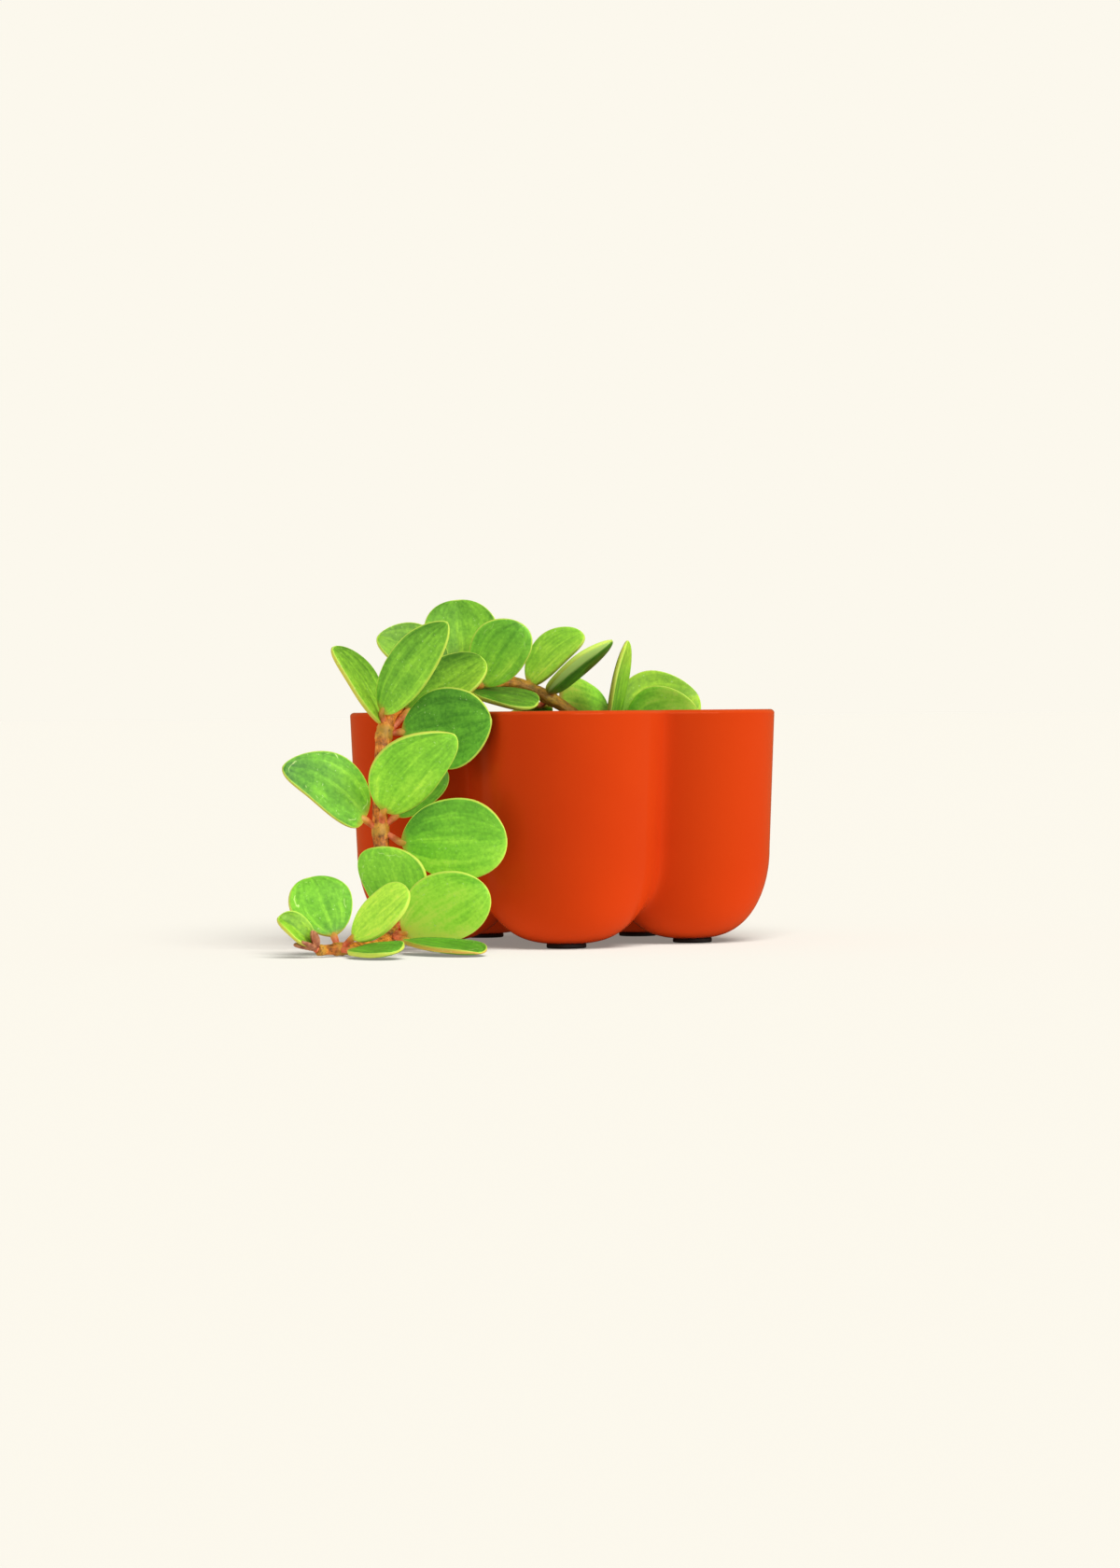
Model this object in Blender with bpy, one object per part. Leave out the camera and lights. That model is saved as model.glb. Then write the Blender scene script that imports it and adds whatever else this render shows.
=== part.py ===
"""A trailing jade peperomia standing in a glazed pot of five round lobes.

Metres, +Z up, floor at z = 0, front of the pot towards -Y. Every shape is worked out round the pot's
own axis, and the empty named stand carries them all to where the whole object's footprint is centred.
"""
import math

import bmesh
import bpy
import numpy as np

MM = 0.001
CLEAR = 0.3 * MM

# where the pot's axis stands from the middle of the whole footprint, plant included
STAND = (8.3 * MM, 21.0 * MM)

# pot: five lobes with their axes on a circle, round bottoms and straight, slightly flared sides
LOBES = 5
POT_TURN = math.radians(1.2)
STEPS_PER_LOBE = 12
LOBE_CIRCLE = 37.1 * MM
LOBE_RADIUS = 22.5 * MM
LOBE_DEPTH = 24.9 * MM
LOBE_BROADER = 1.1
BOTTOM_FLATNESS = 2.85
BOTTOM_SOFTNESS = 1.9
SIDE_FLARE = 0.043
POT_TOP = 65.3 * MM
POT_WALL = 4.0 * MM
RIM_ROUND = 1.2 * MM
UNDERSIDE_RISE = 10.2 * MM
UNDERSIDE_BLEND = 1.0 * MM
# creases between lobes: how many degrees either side of the crease their softening takes up
OUTER_CREASE = 4.1
INNER_CREASE = 6.0
# facets: how many rings each round bottom has towards the pot's axis and outwards from it, and where the
# rim's rounding has its two edges, as shares of the rounding inwards and down
OUTER_RINGS = (3, 7)
INNER_RINGS = (2, 5)
RIM_EDGES = ((0.3, 0.3), (1.0, 0.0))

# feet: rubber discs, one under each lobe, a little outside the lobe's axis
FOOT_CIRCLE = 37.8 * MM
FOOT_RADIUS = 5.4 * MM
FOOT_THICK = 0.8 * MM
LOBE_BASE = FOOT_THICK + CLEAR

# soil: fills the lobes to a little below the rim, in rings from its edge to the pot's axis
SOIL_TOP = 51.5 * MM
SOIL_LUMPS = 0.5 * MM
SOIL_CLEAR = 1.2 * MM
SOIL_RINGS = (0.9, 0.6, 0.3)

# stem: the places it passes through, from its foot in the soil to its growing tip on the floor
STEM_ROUTE = [
    (20.5, 13.0, 38.0),
    (18.5, 10.0, 47.0),
    (13.5, 5.0, 55.5),
    (6.5, 1.5, 62.0),
    (-3.5, -3.0, 69.0),
    (-13.5, -6.5, 73.3),
    (-20.0, -9.5, 73.2),
    (-27.0, -14.0, 72.0),
    (-35.0, -24.5, 70.0),
    (-41.7, -33.4, 68.3),
    (-46.4, -39.3, 65.6),
    (-48.6, -42.1, 59.6),
    (-49.6, -44.5, 46.5),
    (-49.8, -46.5, 33.0),
    (-48.6, -49.5, 18.5),
    (-47.4, -53.5, 5.2),
    (-50.2, -60.0, 2.1),
    (-55.0, -67.0, 1.9),
    (-60.0, -74.5, 2.1),
    (-65.5, -79.0, 2.0),
]
# stem radius at shares of its length from the soil, and how far each node swells
STEM_RADII = [(0.0, 1.6), (0.15, 1.6), (0.45, 2.0), (0.75, 2.1), (0.93, 1.7), (1.0, 1.1)]
NODE_SWELL = 0.35 * MM
NODE_REACH = 2.6 * MM
STEM_STEPS = 3
STEM_SIDES = 10

# blade outlines: half a blade's width at a share s of its length goes as s^p * (1 - s)^q, with p and q
# here; an egg is broadest near its stalk and a wedge near its tip
OUTLINES = {
    "round": (0.64, 0.50),
    "oval": (0.50, 0.44),
    "egg": (0.40, 0.57),
    "wedge": (0.76, 0.42),
    "lozenge": (0.72, 0.62),
    "ellipse": (0.55, 0.61),
}
# whorls: the stem's seven nodes and its tip, with the leaves that grow there
# a leaf is where its blade starts and ends, the way its upper face looks, its width, how far its midrib
# bows to its right seen from above, and its outline
WHORLS = {
    "in_the_pot": (
        (13.5, 5.0, 55.5),
        [
            ((13.9, 3.8, 60.0), (18.7, -3.0, 85.0), (1.0, -0.3, 0.1), 17.0, -2.4, "egg"),
            ((17.6, 8.2, 58.9), (39.2, 10.0, 69.1), (0.01, -1.0, 0.29), 23.9, -1.8, "egg"),
            ((18.1, 3.6, 57.6), (38.8, -3.0, 64.7), (-0.01, -1.0, 0.24), 19.9, -1.3, "ellipse"),
            ((9.3, 10.4, 58.4), (1.0, 21.0, 64.0), (0.3, -0.4, 0.9), 18.0, 0.0, "round"),
        ],
    ),
    "above_the_soil": (
        (-3.5, -3.0, 69.0),
        [
            ((-9.2, -3.3, 72.9), (6.2, -4.5, 87.3), (-0.78, -0.75, 0.04), 12.2, -2.6, "oval"),
            ((-2.6, -4.2, 70.0), (14.2, -12.0, 85.0), (-0.68, 0.28, 0.75), 19.1, 0.3, "egg"),
            ((-0.5, 1.1, 68.1), (13.4, 15.2, 64.6), (-0.02, -1.0, 0.35), 17.3, 0.5, "egg"),
            ((-5.9, 1.1, 67.0), (-14.5, 16.0, 59.5), (0.1, -0.3, 0.9), 17.0, 0.0, "round"),
        ],
    ),
    "crossing": (
        (-27.0, -14.0, 72.0),
        [
            ((-33.0, -17.2, 74.0), (-51.0, -22.5, 86.6), (0.2, -0.85, 0.4), 16.3, 2.8, "egg"),
            ((-27.8, -12.6, 76.0), (-29.0, -8.0, 96.8), (0.0, -1.0, 0.1), 21.0, 0.3, "round"),
            ((-22.5, -14.9, 72.5), (-10.8, -19.0, 89.8), (0.1, -1.0, 0.1), 16.5, -1.3, "round"),
            ((-25.4, -15.3, 70.8), (-6.6, -20.0, 67.1), (0.1, -0.38, 0.93), 13.8, 0.2, "wedge"),
        ],
    ),
    "over_the_rim": (
        (-48.3, -41.8, 59.5),
        [
            ((-49.2, -41.8, 61.9), (-62.6, -45.0, 83.3), (0.88, -0.5, 0.33), 14.5, 3.2, "lozenge"),
            ((-49.2, -43.2, 65.2), (-30.6, -57.0, 89.5), (-0.24, -0.8, 0.06), 13.5, -1.3, "ellipse"),
            ((-42.5, -39.7, 65.2), (-21.1, -36.0, 79.6), (-0.1, -0.75, 0.6), 15.9, -0.6, "round"),
            ((-43.8, -43.2, 59.9), (-19.0, -55.5, 63.3), (0.0, -1.0, 0.05), 22.4, 0.8, "lozenge"),
        ],
    ),
    "hanging": (
        (-49.8, -46.5, 33.0),
        [
            ((-48.8, -50.0, 38.3), (-29.1, -61.5, 59.3), (0.3, -1.0, -0.4), 19.4, -3.6, "ellipse"),
            ((-45.6, -47.0, 37.0), (-32.0, -48.2, 50.1), (0.0, -1.0, -0.35), 11.6, -1.0, "round"),
            ((-53.9, -49.0, 36.1), (-75.7, -56.0, 51.2), (0.12, -0.65, 0.26), 16.4, 3.6, "egg"),
            ((-44.0, -49.4, 29.8), (-15.0, -62.0, 30.9), (0.0, -1.0, -0.13), 22.9, -0.6, "round"),
        ],
    ),
    "on_the_floor": (
        (-47.4, -53.5, 5.2),
        [
            ((-46.4, -54.4, 7.7), (-49.5, -58.5, 29.0), (-0.48, -1.0, 0.07), 20.1, 3.4, "wedge"),
            ((-43.5, -56.4, 5.1), (-20.7, -67.0, 18.2), (0.15, -1.0, -0.14), 19.9, -1.0, "round"),
            ((-42.5, -61.0, 3.6), (-22.5, -83.5, 1.1), (0.0, -0.06, 0.99), 16.5, 0.0, "round"),
            ((-44.3, -50.9, 8.3), (-34.5, -42.5, 18.5), (-0.3, -0.8, 0.5), 12.0, 0.0, "round"),
        ],
    ),
    "lying": (
        (-60.0, -74.5, 2.1),
        [
            ((-61.5, -72.9, 5.4), (-68.5, -66.0, 21.0), (0.3, -0.85, 0.45), 18.0, 0.0, "round"),
            ((-56.5, -76.2, 5.0), (-41.0, -84.0, 18.0), (-0.3, -0.75, 0.55), 13.5, 0.0, "round"),
            ((-56.1, -79.7, 2.1), (-44.0, -96.0, 2.2), (0.0, -0.35, 0.94), 13.0, 0.0, "round"),
        ],
    ),
    "tip": (
        (-65.5, -79.0, 2.0),
        [
            ((-67.1, -79.5, 3.3), (-76.0, -82.5, 11.0), (0.3, -0.75, 0.6), 8.0, 0.0, "round"),
            ((-66.0, -79.1, 2.1), (-72.0, -80.5, 3.6), (0.0, -0.3, 0.95), 2.8, 0.0, "lozenge"),
            ((-65.8, -79.4, 2.2), (-69.5, -84.5, 4.6), (0.0, -0.3, 0.95), 2.6, 0.0, "lozenge"),
            ((-65.6, -79.3, 2.4), (-67.0, -82.5, 7.5), (0.4, -0.8, 0.3), 2.6, 0.0, "lozenge"),
        ],
    ),
}

# blade: thick, nearly flat and cupped a little; a small one is thinner
BLADE_THICK = 2.0 * MM
BLADE_THINNEST = 1.0 * MM
BLADE_THICK_FOR_WIDTH = 0.3
BLADE_CUP = 0.10
BLADE_BLUNTNESS = 0.7
BLADE_STATIONS = 8
BLADE_SIDES = 10
# stalk: from the stem into the blade; shares of its radius at its start, middle, the blade's edge and end
STALK_RADIUS = 0.9 * MM
STALK_TAPER = (1.1, 0.9, 0.95, 0.65)
STALK_SIDES = 6
STALK_SUNK_IN_BLADE = 0.10
# corners of the joined plant that are nearer than this become one
SAME_CORNER = 0.02 * MM

GLAZE = ((0.76, 0.060, 0.007), 0.12)
RUBBER = ((0.012, 0.012, 0.013), 0.70)
SOIL = ((0.050, 0.030, 0.018), 0.95)
LEAF_GREEN = ((0.185, 0.440, 0.035), 0.38)
STEM_BROWN = ((0.330, 0.130, 0.045), 0.50)


def material(name, colour_and_roughness):
    colour, roughness = colour_and_roughness
    made = bpy.data.materials.new(name)
    made.use_nodes = True
    shader = made.node_tree.nodes["Principled BSDF"]
    shader.inputs["Base Color"].default_value = (*colour, 1.0)
    shader.inputs["Roughness"].default_value = roughness
    shader.inputs["Metallic"].default_value = 0.0
    return made


def solid(name, points, faces, finish, smooth_angle=40.0):
    """A closed mesh object from points and faces, its faces turned outwards."""
    mesh = bpy.data.meshes.new(name)
    mesh.from_pydata([tuple(p) for p in points], [], faces)
    shape = bmesh.new()
    shape.from_mesh(mesh)
    bmesh.ops.recalc_face_normals(shape, faces=shape.faces)
    shape.to_mesh(mesh)
    shape.free()
    mesh.materials.append(finish)
    mesh.shade_smooth()
    mesh.set_sharp_from_angle(angle=math.radians(smooth_angle))
    made = bpy.data.objects.new(name, mesh)
    bpy.context.scene.collection.objects.link(made)
    return made


def skin_of_rings(rings, ends):
    """Faces that join each ring of points to the next and close both ends with a point each."""
    count = len(rings[0])
    points = [p for ring in rings for p in ring] + list(ends)
    faces = []
    for i in range(len(rings) - 1):
        for j in range(count):
            here, beside = i * count + j, i * count + (j + 1) % count
            faces.append((here, beside, beside + count, here + count))
    first, last = len(points) - 2, len(points) - 1
    top = (len(rings) - 1) * count
    for j in range(count):
        faces.append((first, (j + 1) % count, j))
        faces.append((last, top + j, top + (j + 1) % count))
    return points, faces


def lobe_turn(azimuth, crease):
    """Angle off the nearest lobe's axis: it grows to half a lobe's turn at a crease, less the softening."""
    half = 180.0 / LOBES
    off = np.mod(np.degrees(azimuth) + 90.0, 2.0 * half)
    off = np.minimum(off, 2.0 * half - off)
    return np.radians(half - np.hypot(half - off, crease))


def lobe_ring(azimuth, radius, crease):
    """Distance from the pot's axis to the far side of a lobe of this radius."""
    turn = lobe_turn(azimuth, crease)
    across = LOBE_CIRCLE * np.sin(turn) / LOBE_BROADER
    return LOBE_CIRCLE * np.cos(turn) + np.sqrt(radius**2 - across**2)


def bowl(azimuth, radius, depth, base, crease, inside_steps, outside_steps):
    """Rings (distance from the axis, height) of the round-bottomed part of the lobes.

    A lobe's height at a distance d from its axis is depth * (1 - (1 - (d / radius)^a)^(1 / b)), with a
    for its flatness and b for its softness. Along a line out from the pot's axis that is followed to
    where it stands upright, and towards the axis it blends into the flat underside in the middle.
    """
    a, b = BOTTOM_FLATNESS, BOTTOM_SOFTNESS
    turn = lobe_turn(azimuth, crease)
    nearest = LOBE_CIRCLE * np.abs(np.sin(turn)) / LOBE_BROADER
    foot = LOBE_CIRCLE * np.cos(turn)
    rise = UNDERSIDE_RISE
    rings = []

    def blended(height):
        return (height + rise - np.hypot(height - rise, UNDERSIDE_BLEND)) / 2

    for share in np.linspace(0, 1, inside_steps + 2)[1:-1]:
        off = np.hypot(nearest, foot * (1 - share))
        height = depth * (1 - (1 - np.minimum(off / radius, 1) ** a) ** (1 / b))
        height = np.where(off < radius, height, 2 * depth)
        rings.append((foot * share, base + blended(height)))
    start = np.arcsin((nearest / radius) ** (a / 2))
    for share in np.linspace(0, 1, outside_steps + 1):
        swing = start + (math.pi / 2 - start) * share
        reach = radius * np.sin(swing) ** (2 / a)
        height = depth * (1 - np.maximum(np.cos(swing), 0) ** (2 / b))
        if share == 0:
            height = blended(height)
        rings.append((foot + np.sqrt(np.maximum(reach**2 - nearest**2, 0)), base + height))
    return rings


def side_radius(radius, height):
    """Lobe radius of a wall that flares above the round bottom."""
    return radius + (height - LOBE_BASE - LOBE_DEPTH) * SIDE_FLARE


def to_points(azimuth, rings):
    """Points of the rings, carried round the pot's axis and turned as the pot stands."""
    turned = []
    around = azimuth + POT_TURN
    for distance, height in rings:
        height = np.broadcast_to(height, azimuth.shape)
        turned.append(np.stack([distance * np.cos(around), distance * np.sin(around), height], -1))
    return turned


def lobe_azimuths(per_lobe):
    return np.arange(LOBES * per_lobe) * (2 * math.pi / (LOBES * per_lobe)) - math.pi / 2


def make_pot(finish):
    """Outer skin from the underside's middle up to the rim, and inner skin back down to the floor."""
    azimuth = lobe_azimuths(STEPS_PER_LOBE)
    inner = LOBE_RADIUS - POT_WALL
    rim_start = POT_TOP - RIM_ROUND
    middle = (LOBE_BASE + LOBE_DEPTH + POT_TOP) / 2
    outer_top = side_radius(LOBE_RADIUS, POT_TOP)
    inner_top = side_radius(inner, POT_TOP)
    rings = bowl(azimuth, LOBE_RADIUS, LOBE_DEPTH, LOBE_BASE, OUTER_CREASE, *OUTER_RINGS)
    for height in (middle, rim_start):
        rings.append((lobe_ring(azimuth, side_radius(LOBE_RADIUS, height), OUTER_CREASE), height))
    crease_step = (INNER_CREASE - OUTER_CREASE) * RIM_ROUND / POT_WALL
    for inset, drop in RIM_EDGES:
        crease = OUTER_CREASE + crease_step * inset
        rings.append((lobe_ring(azimuth, outer_top - RIM_ROUND * inset, crease), POT_TOP - RIM_ROUND * drop))
    for inset, drop in RIM_EDGES[::-1]:
        crease = INNER_CREASE - crease_step * inset
        rings.append((lobe_ring(azimuth, inner_top + RIM_ROUND * inset, crease), POT_TOP - RIM_ROUND * drop))
    for height in (rim_start, middle):
        rings.append((lobe_ring(azimuth, side_radius(inner, height), INNER_CREASE), height))
    floor = LOBE_BASE + POT_WALL
    rings += bowl(azimuth, inner, LOBE_DEPTH - POT_WALL, floor, INNER_CREASE, *INNER_RINGS)[::-1]
    ends = [(0, 0, LOBE_BASE + UNDERSIDE_RISE), (0, 0, floor + UNDERSIDE_RISE)]
    points, faces = skin_of_rings(to_points(azimuth, rings), ends)
    return solid("pot", points, faces, finish)


def make_feet(finish):
    feet = []
    for i in range(LOBES):
        turn = 2 * math.pi * i / LOBES - math.pi / 2 + POT_TURN
        bpy.ops.mesh.primitive_cylinder_add(vertices=24, radius=FOOT_RADIUS, depth=FOOT_THICK)
        foot = bpy.context.object
        foot.name = f"foot_{i + 1}"
        foot.location = (FOOT_CIRCLE * math.cos(turn), FOOT_CIRCLE * math.sin(turn), FOOT_THICK / 2)
        foot.data.materials.append(finish)
        foot.data.shade_smooth()
        foot.data.set_sharp_from_angle(angle=math.radians(40))
        feet.append(foot)
    return feet


def lumps(points):
    """Height of the soil's lumps, a sum of waves that run different ways."""
    x, y = points[..., 0], points[..., 1]
    waves = ((0.13, 0.05, 0.4), (-0.07, 0.14, 1.9), (0.19, -0.16, 3.1), (0.11, 0.21, 5.0))
    total = sum(np.sin((a * x + b * y) / MM + phase) for a, b, phase in waves)
    return SOIL_LUMPS * total / 2


def make_soil(finish):
    """The filling: the pot's inside less the clearance, with a plain hole for the stem's foot."""
    azimuth = lobe_azimuths(STEPS_PER_LOBE)
    radius = LOBE_RADIUS - POT_WALL - SOIL_CLEAR
    depth = LOBE_DEPTH - POT_WALL - SOIL_CLEAR
    bottom = LOBE_BASE + POT_WALL + SOIL_CLEAR
    rings = bowl(azimuth, radius, depth, bottom, INNER_CREASE, *INNER_RINGS)
    edge = lobe_ring(azimuth, side_radius(radius, SOIL_TOP), INNER_CREASE)
    rings.append((edge, SOIL_TOP - SOIL_LUMPS))
    skin = to_points(azimuth, rings)
    for share in SOIL_RINGS:
        ring = to_points(azimuth, [(edge * share, SOIL_TOP)])[0]
        ring[:, 2] += lumps(ring)
        skin.append(ring)
    ends = [(0, 0, bottom + UNDERSIDE_RISE), (0, 0, SOIL_TOP)]
    points, faces = skin_of_rings(skin, ends)
    soil = solid("soil", points, faces, finish)
    route, radii = stem_line()
    foot = route[0] - unit(route[1] - route[0]) * CLEAR
    near = route[route[:, 2] < SOIL_TOP + 4 * MM]
    width = np.full(len(near) + 1, radii[0] + NODE_SWELL + CLEAR)
    hole = solid("hole_for_the_stem", *swept(np.vstack([foot, near]), width, STEM_SIDES + 2), finish)
    hole.hide_render = True
    hole.display_type = "WIRE"
    cut = soil.modifiers.new("stem hole", "BOOLEAN")
    cut.operation = "DIFFERENCE"
    cut.object = hole
    return soil, hole


def unit(vector):
    vector = np.asarray(vector, float)
    return vector / np.linalg.norm(vector)


def swept(line, radii, sides):
    """A tube along a line: a ring across it at each point, carried on with no twist."""
    heading = np.gradient(line, axis=0)
    heading /= np.linalg.norm(heading, axis=1)[:, None]
    around = 2 * math.pi * np.arange(sides) / sides
    side = unit(np.cross(heading[0], (0.3, 0.2, 0.9)))
    rings = []
    for point, radius, ahead in zip(line, radii, heading):
        side = unit(side - ahead * (side @ ahead))
        other = np.cross(ahead, side)
        rings.append(point + radius * (np.outer(np.cos(around), side) + np.outer(np.sin(around), other)))
    return skin_of_rings(rings, [line[0], line[-1]])


def smooth_line(stops, steps):
    """A centripetal Catmull-Rom curve through the stops, with so many steps between two of them.

    Between two stops it is a cubic whose slopes there are the neighbours' differences, each divided by
    the square root of its length.
    """
    stops = np.asarray(stops, float)
    stops = np.vstack([2 * stops[0] - stops[1], stops, 2 * stops[-1] - stops[-2]])
    gaps = np.linalg.norm(np.diff(stops, axis=0), axis=1)[:, None] ** 0.5
    before, here, after = gaps[:-2], gaps[1:-1], gaps[2:]
    slopes = np.diff(stops, axis=0) / gaps
    start = here * (slopes[:-2] - (stops[2:-1] - stops[:-3]) / (before + here) + slopes[1:-1])
    end = here * (slopes[1:-1] - (stops[3:] - stops[1:-2]) / (here + after) + slopes[2:])
    t = (np.arange(steps) / steps)[None, :, None]
    first, last = stops[1:-2, None], stops[2:-1, None]
    start, end = start[:, None], end[:, None]
    cubic = (
        first * (2 * t**3 - 3 * t**2 + 1)
        + start * (t**3 - 2 * t**2 + t)
        + last * (3 * t**2 - 2 * t**3)
        + end * (t**3 - t**2)
    )
    return np.vstack([cubic.reshape(-1, 3), stops[-2]])


def stem_line():
    """Points along the stem and its radius at each, thicker at every whorl."""
    line = smooth_line(STEM_ROUTE, STEM_STEPS) * MM
    run = np.concatenate([[0], np.cumsum(np.linalg.norm(np.diff(line, axis=0), axis=1))])
    shares, widths = zip(*STEM_RADII)
    radii = np.interp(run / run[-1], shares, widths) * MM
    for node, _ in WHORLS.values():
        away = np.linalg.norm(line - np.array(node) * MM, axis=1)
        radii = radii + NODE_SWELL * np.exp(-((away / NODE_REACH) ** 2))
    return line, radii


def leaf_frame(leaf):
    """Where a leaf's blade starts and ends, and its two directions: across and up."""
    base, tip = np.array(leaf[0]) * MM, np.array(leaf[1]) * MM
    along = unit(tip - base)
    face = np.array(leaf[2])
    up = unit(face - along * (face @ along))
    return base, tip, np.cross(along, up), up


def half_width(share, outline):
    """A blade's outline from 0 at its ends to 1 where it is broadest: share^p * (1 - share)^q."""
    p, q = OUTLINES[outline]
    greatest = (p / (p + q)) ** p * (q / (p + q)) ** q
    return share**p * (1 - share) ** q / greatest


def blade(leaf):
    """A closed blade: flat ovals across the midrib, blunt at the margin and cupped a little."""
    base, tip, across, up = leaf_frame(leaf)
    width, bow = leaf[3] * MM, leaf[4] * MM
    thick = min(BLADE_THICK, max(BLADE_THINNEST, BLADE_THICK_FOR_WIDTH * width))
    share = (1 - np.cos(math.pi * (np.arange(BLADE_STATIONS) + 0.5) / BLADE_STATIONS)) / 2
    half = half_width(share, leaf[5]) * width / 2
    swell = thick / 2 * np.sqrt(1 - np.abs(2 * share - 1) ** 5)
    around = 2 * math.pi * np.arange(BLADE_SIDES) / BLADE_SIDES
    sideways = half[:, None] * np.cos(around)
    blunt = np.sign(np.sin(around)) * np.abs(np.sin(around)) ** BLADE_BLUNTNESS
    lift = swell[:, None] * blunt + BLADE_CUP * half[:, None] * np.cos(around) ** 2
    rib = base + np.outer(share, tip - base) + np.outer(bow * 4 * share * (1 - share), across)
    rings = list(rib[:, None] + sideways[..., None] * across + lift[..., None] * up)
    return skin_of_rings(rings, [base, tip])


def leaf_stalk(node, leaf):
    """A stalk from the stem's middle into the blade, thinnest halfway."""
    node = np.array(node) * MM
    base, tip, _, _ = leaf_frame(leaf)
    end = base + (tip - base) * STALK_SUNK_IN_BLADE
    line = np.array([node, (node + base) / 2, base, end])
    return swept(line, STALK_RADIUS * np.array(STALK_TAPER), STALK_SIDES)


def make_vine(leaf_finish, stem_finish):
    """Stem, stalks, blades and bud, grown together by one union."""
    vine = solid("trailing_vine", *swept(*stem_line(), STEM_SIDES), stem_finish)
    pieces = bpy.data.collections.new("leaves_and_stalks")
    bpy.context.scene.collection.children.link(pieces)
    for node, leaves in WHORLS.values():
        for leaf in leaves:
            grown = [solid("blade", *blade(leaf), leaf_finish)]
            if math.dist(node, leaf[0]) * MM > STALK_RADIUS:
                grown.append(solid("stalk", *leaf_stalk(node, leaf), stem_finish))
            for piece in grown:
                bpy.context.scene.collection.objects.unlink(piece)
                pieces.objects.link(piece)
    join = vine.modifiers.new("grown together", "BOOLEAN")
    join.operation = "UNION"
    join.operand_type = "COLLECTION"
    join.collection = pieces
    join.material_mode = "TRANSFER"
    grown = bpy.data.meshes.new_from_object(vine.evaluated_get(bpy.context.evaluated_depsgraph_get()))
    vine.modifiers.clear()
    vine.data = grown
    for piece in list(pieces.objects):
        bpy.data.objects.remove(piece)
    bpy.data.collections.remove(pieces)
    shape = bmesh.new()
    shape.from_mesh(grown)
    bmesh.ops.remove_doubles(shape, verts=shape.verts, dist=SAME_CORNER)
    bmesh.ops.dissolve_degenerate(shape, edges=shape.edges, dist=SAME_CORNER / 2)
    bmesh.ops.triangulate(shape, faces=shape.faces)
    shape.to_mesh(grown)
    shape.free()
    return vine


def build():
    for old in list(bpy.data.objects):
        bpy.data.objects.remove(old)
    glaze = material("orange_glaze", GLAZE)
    rubber = material("black_rubber", RUBBER)
    earth = material("potting_soil", SOIL)
    green = material("leaf_green", LEAF_GREEN)
    brown = material("stem_brown", STEM_BROWN)
    stand = bpy.data.objects.new("stand", None)
    bpy.context.scene.collection.objects.link(stand)
    stand.location = (*STAND, 0)
    pieces = [make_pot(glaze), *make_feet(rubber), *make_soil(earth), make_vine(green, brown)]
    for piece in pieces:
        piece.parent = stand


build()
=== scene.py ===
"""A trailing jade peperomia in a glazed pot of five round lobes, dressed for its picture.

Metres, +Z up, the front towards -Y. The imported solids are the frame: each piece below keeps the form
and the place of a solid, and rides on the one body, root.
"""

import math

import bmesh
import bpy
import numpy as np
from mathutils import Matrix


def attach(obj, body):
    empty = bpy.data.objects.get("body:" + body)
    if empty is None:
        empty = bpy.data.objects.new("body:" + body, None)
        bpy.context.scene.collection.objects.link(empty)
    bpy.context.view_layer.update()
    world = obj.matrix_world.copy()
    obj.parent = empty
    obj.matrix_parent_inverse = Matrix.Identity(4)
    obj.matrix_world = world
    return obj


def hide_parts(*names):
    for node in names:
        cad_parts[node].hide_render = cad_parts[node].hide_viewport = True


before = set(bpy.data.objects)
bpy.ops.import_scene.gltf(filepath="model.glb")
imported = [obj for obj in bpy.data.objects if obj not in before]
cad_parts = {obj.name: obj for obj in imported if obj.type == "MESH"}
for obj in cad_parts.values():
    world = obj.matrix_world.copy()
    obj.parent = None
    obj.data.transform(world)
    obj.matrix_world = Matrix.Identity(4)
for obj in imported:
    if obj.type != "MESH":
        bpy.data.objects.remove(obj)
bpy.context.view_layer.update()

# Camera: a long lens level with the pot's rim, 1.35 m in front of it. It looks down by less than a
# degree and leans by half of one, as the photograph does.
MM = 0.001
POT_AXIS = np.array([8.3, 21.0, 0.0]) * MM
EYE = POT_AXIS + np.array([0.0, -1347.9, 65.0]) * MM
FOCAL_LENGTH = 109.3
SENSOR_HEIGHT = 36.0
LOOKS_DOWN = math.radians(0.867)
TURNS_LEFT = math.radians(0.026)
LEANS_RIGHT = math.radians(0.516)
SEES_UP_TO = 200.0

lens = bpy.data.cameras.new("camera")
lens.lens = FOCAL_LENGTH
lens.sensor_fit = "VERTICAL"
lens.sensor_height = SENSOR_HEIGHT
lens.clip_end = SEES_UP_TO
camera = bpy.data.objects.new("camera", lens)
camera.matrix_world = (
    Matrix.Translation(EYE)
    @ Matrix.Rotation(TURNS_LEFT, 4, "Z")
    @ Matrix.Rotation(math.pi / 2 - LOOKS_DOWN, 4, "X")
    @ Matrix.Rotation(-LEANS_RIGHT, 4, "Z")
)
bpy.context.scene.collection.objects.link(camera)
bpy.context.scene.camera = camera

# Studio: an endless cream floor with a soft light of its own, a broad light from the right and a weaker
# one from the left on pot and plant, and a dim room that shows warm in the glaze. A tall panel adds a
# faint gleam to glaze and leaves. Of the floor, only the part near the pot shows in them.
CREAM = (0.973, 0.939, 0.847)
FLOOR_CREAM = (0.240, 0.2315, 0.209)
FLOOR_GLOW = 0.22
FLOOR_IN_GLOSS = (0.12, 0.045, 0.02)
NEAR_FLOOR = 0.35
FLOOR_REACH = 60.0
FLOOR_SIDES = 96
ROOM_WHITE = (1.0, 0.985, 0.95)
ROOM_LIGHT = 0.48
ROOM_COLOUR_IN_GLOSS = (1.0, 0.40, 0.16)
ROOM_LIGHT_IN_GLOSS = 0.40
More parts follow.
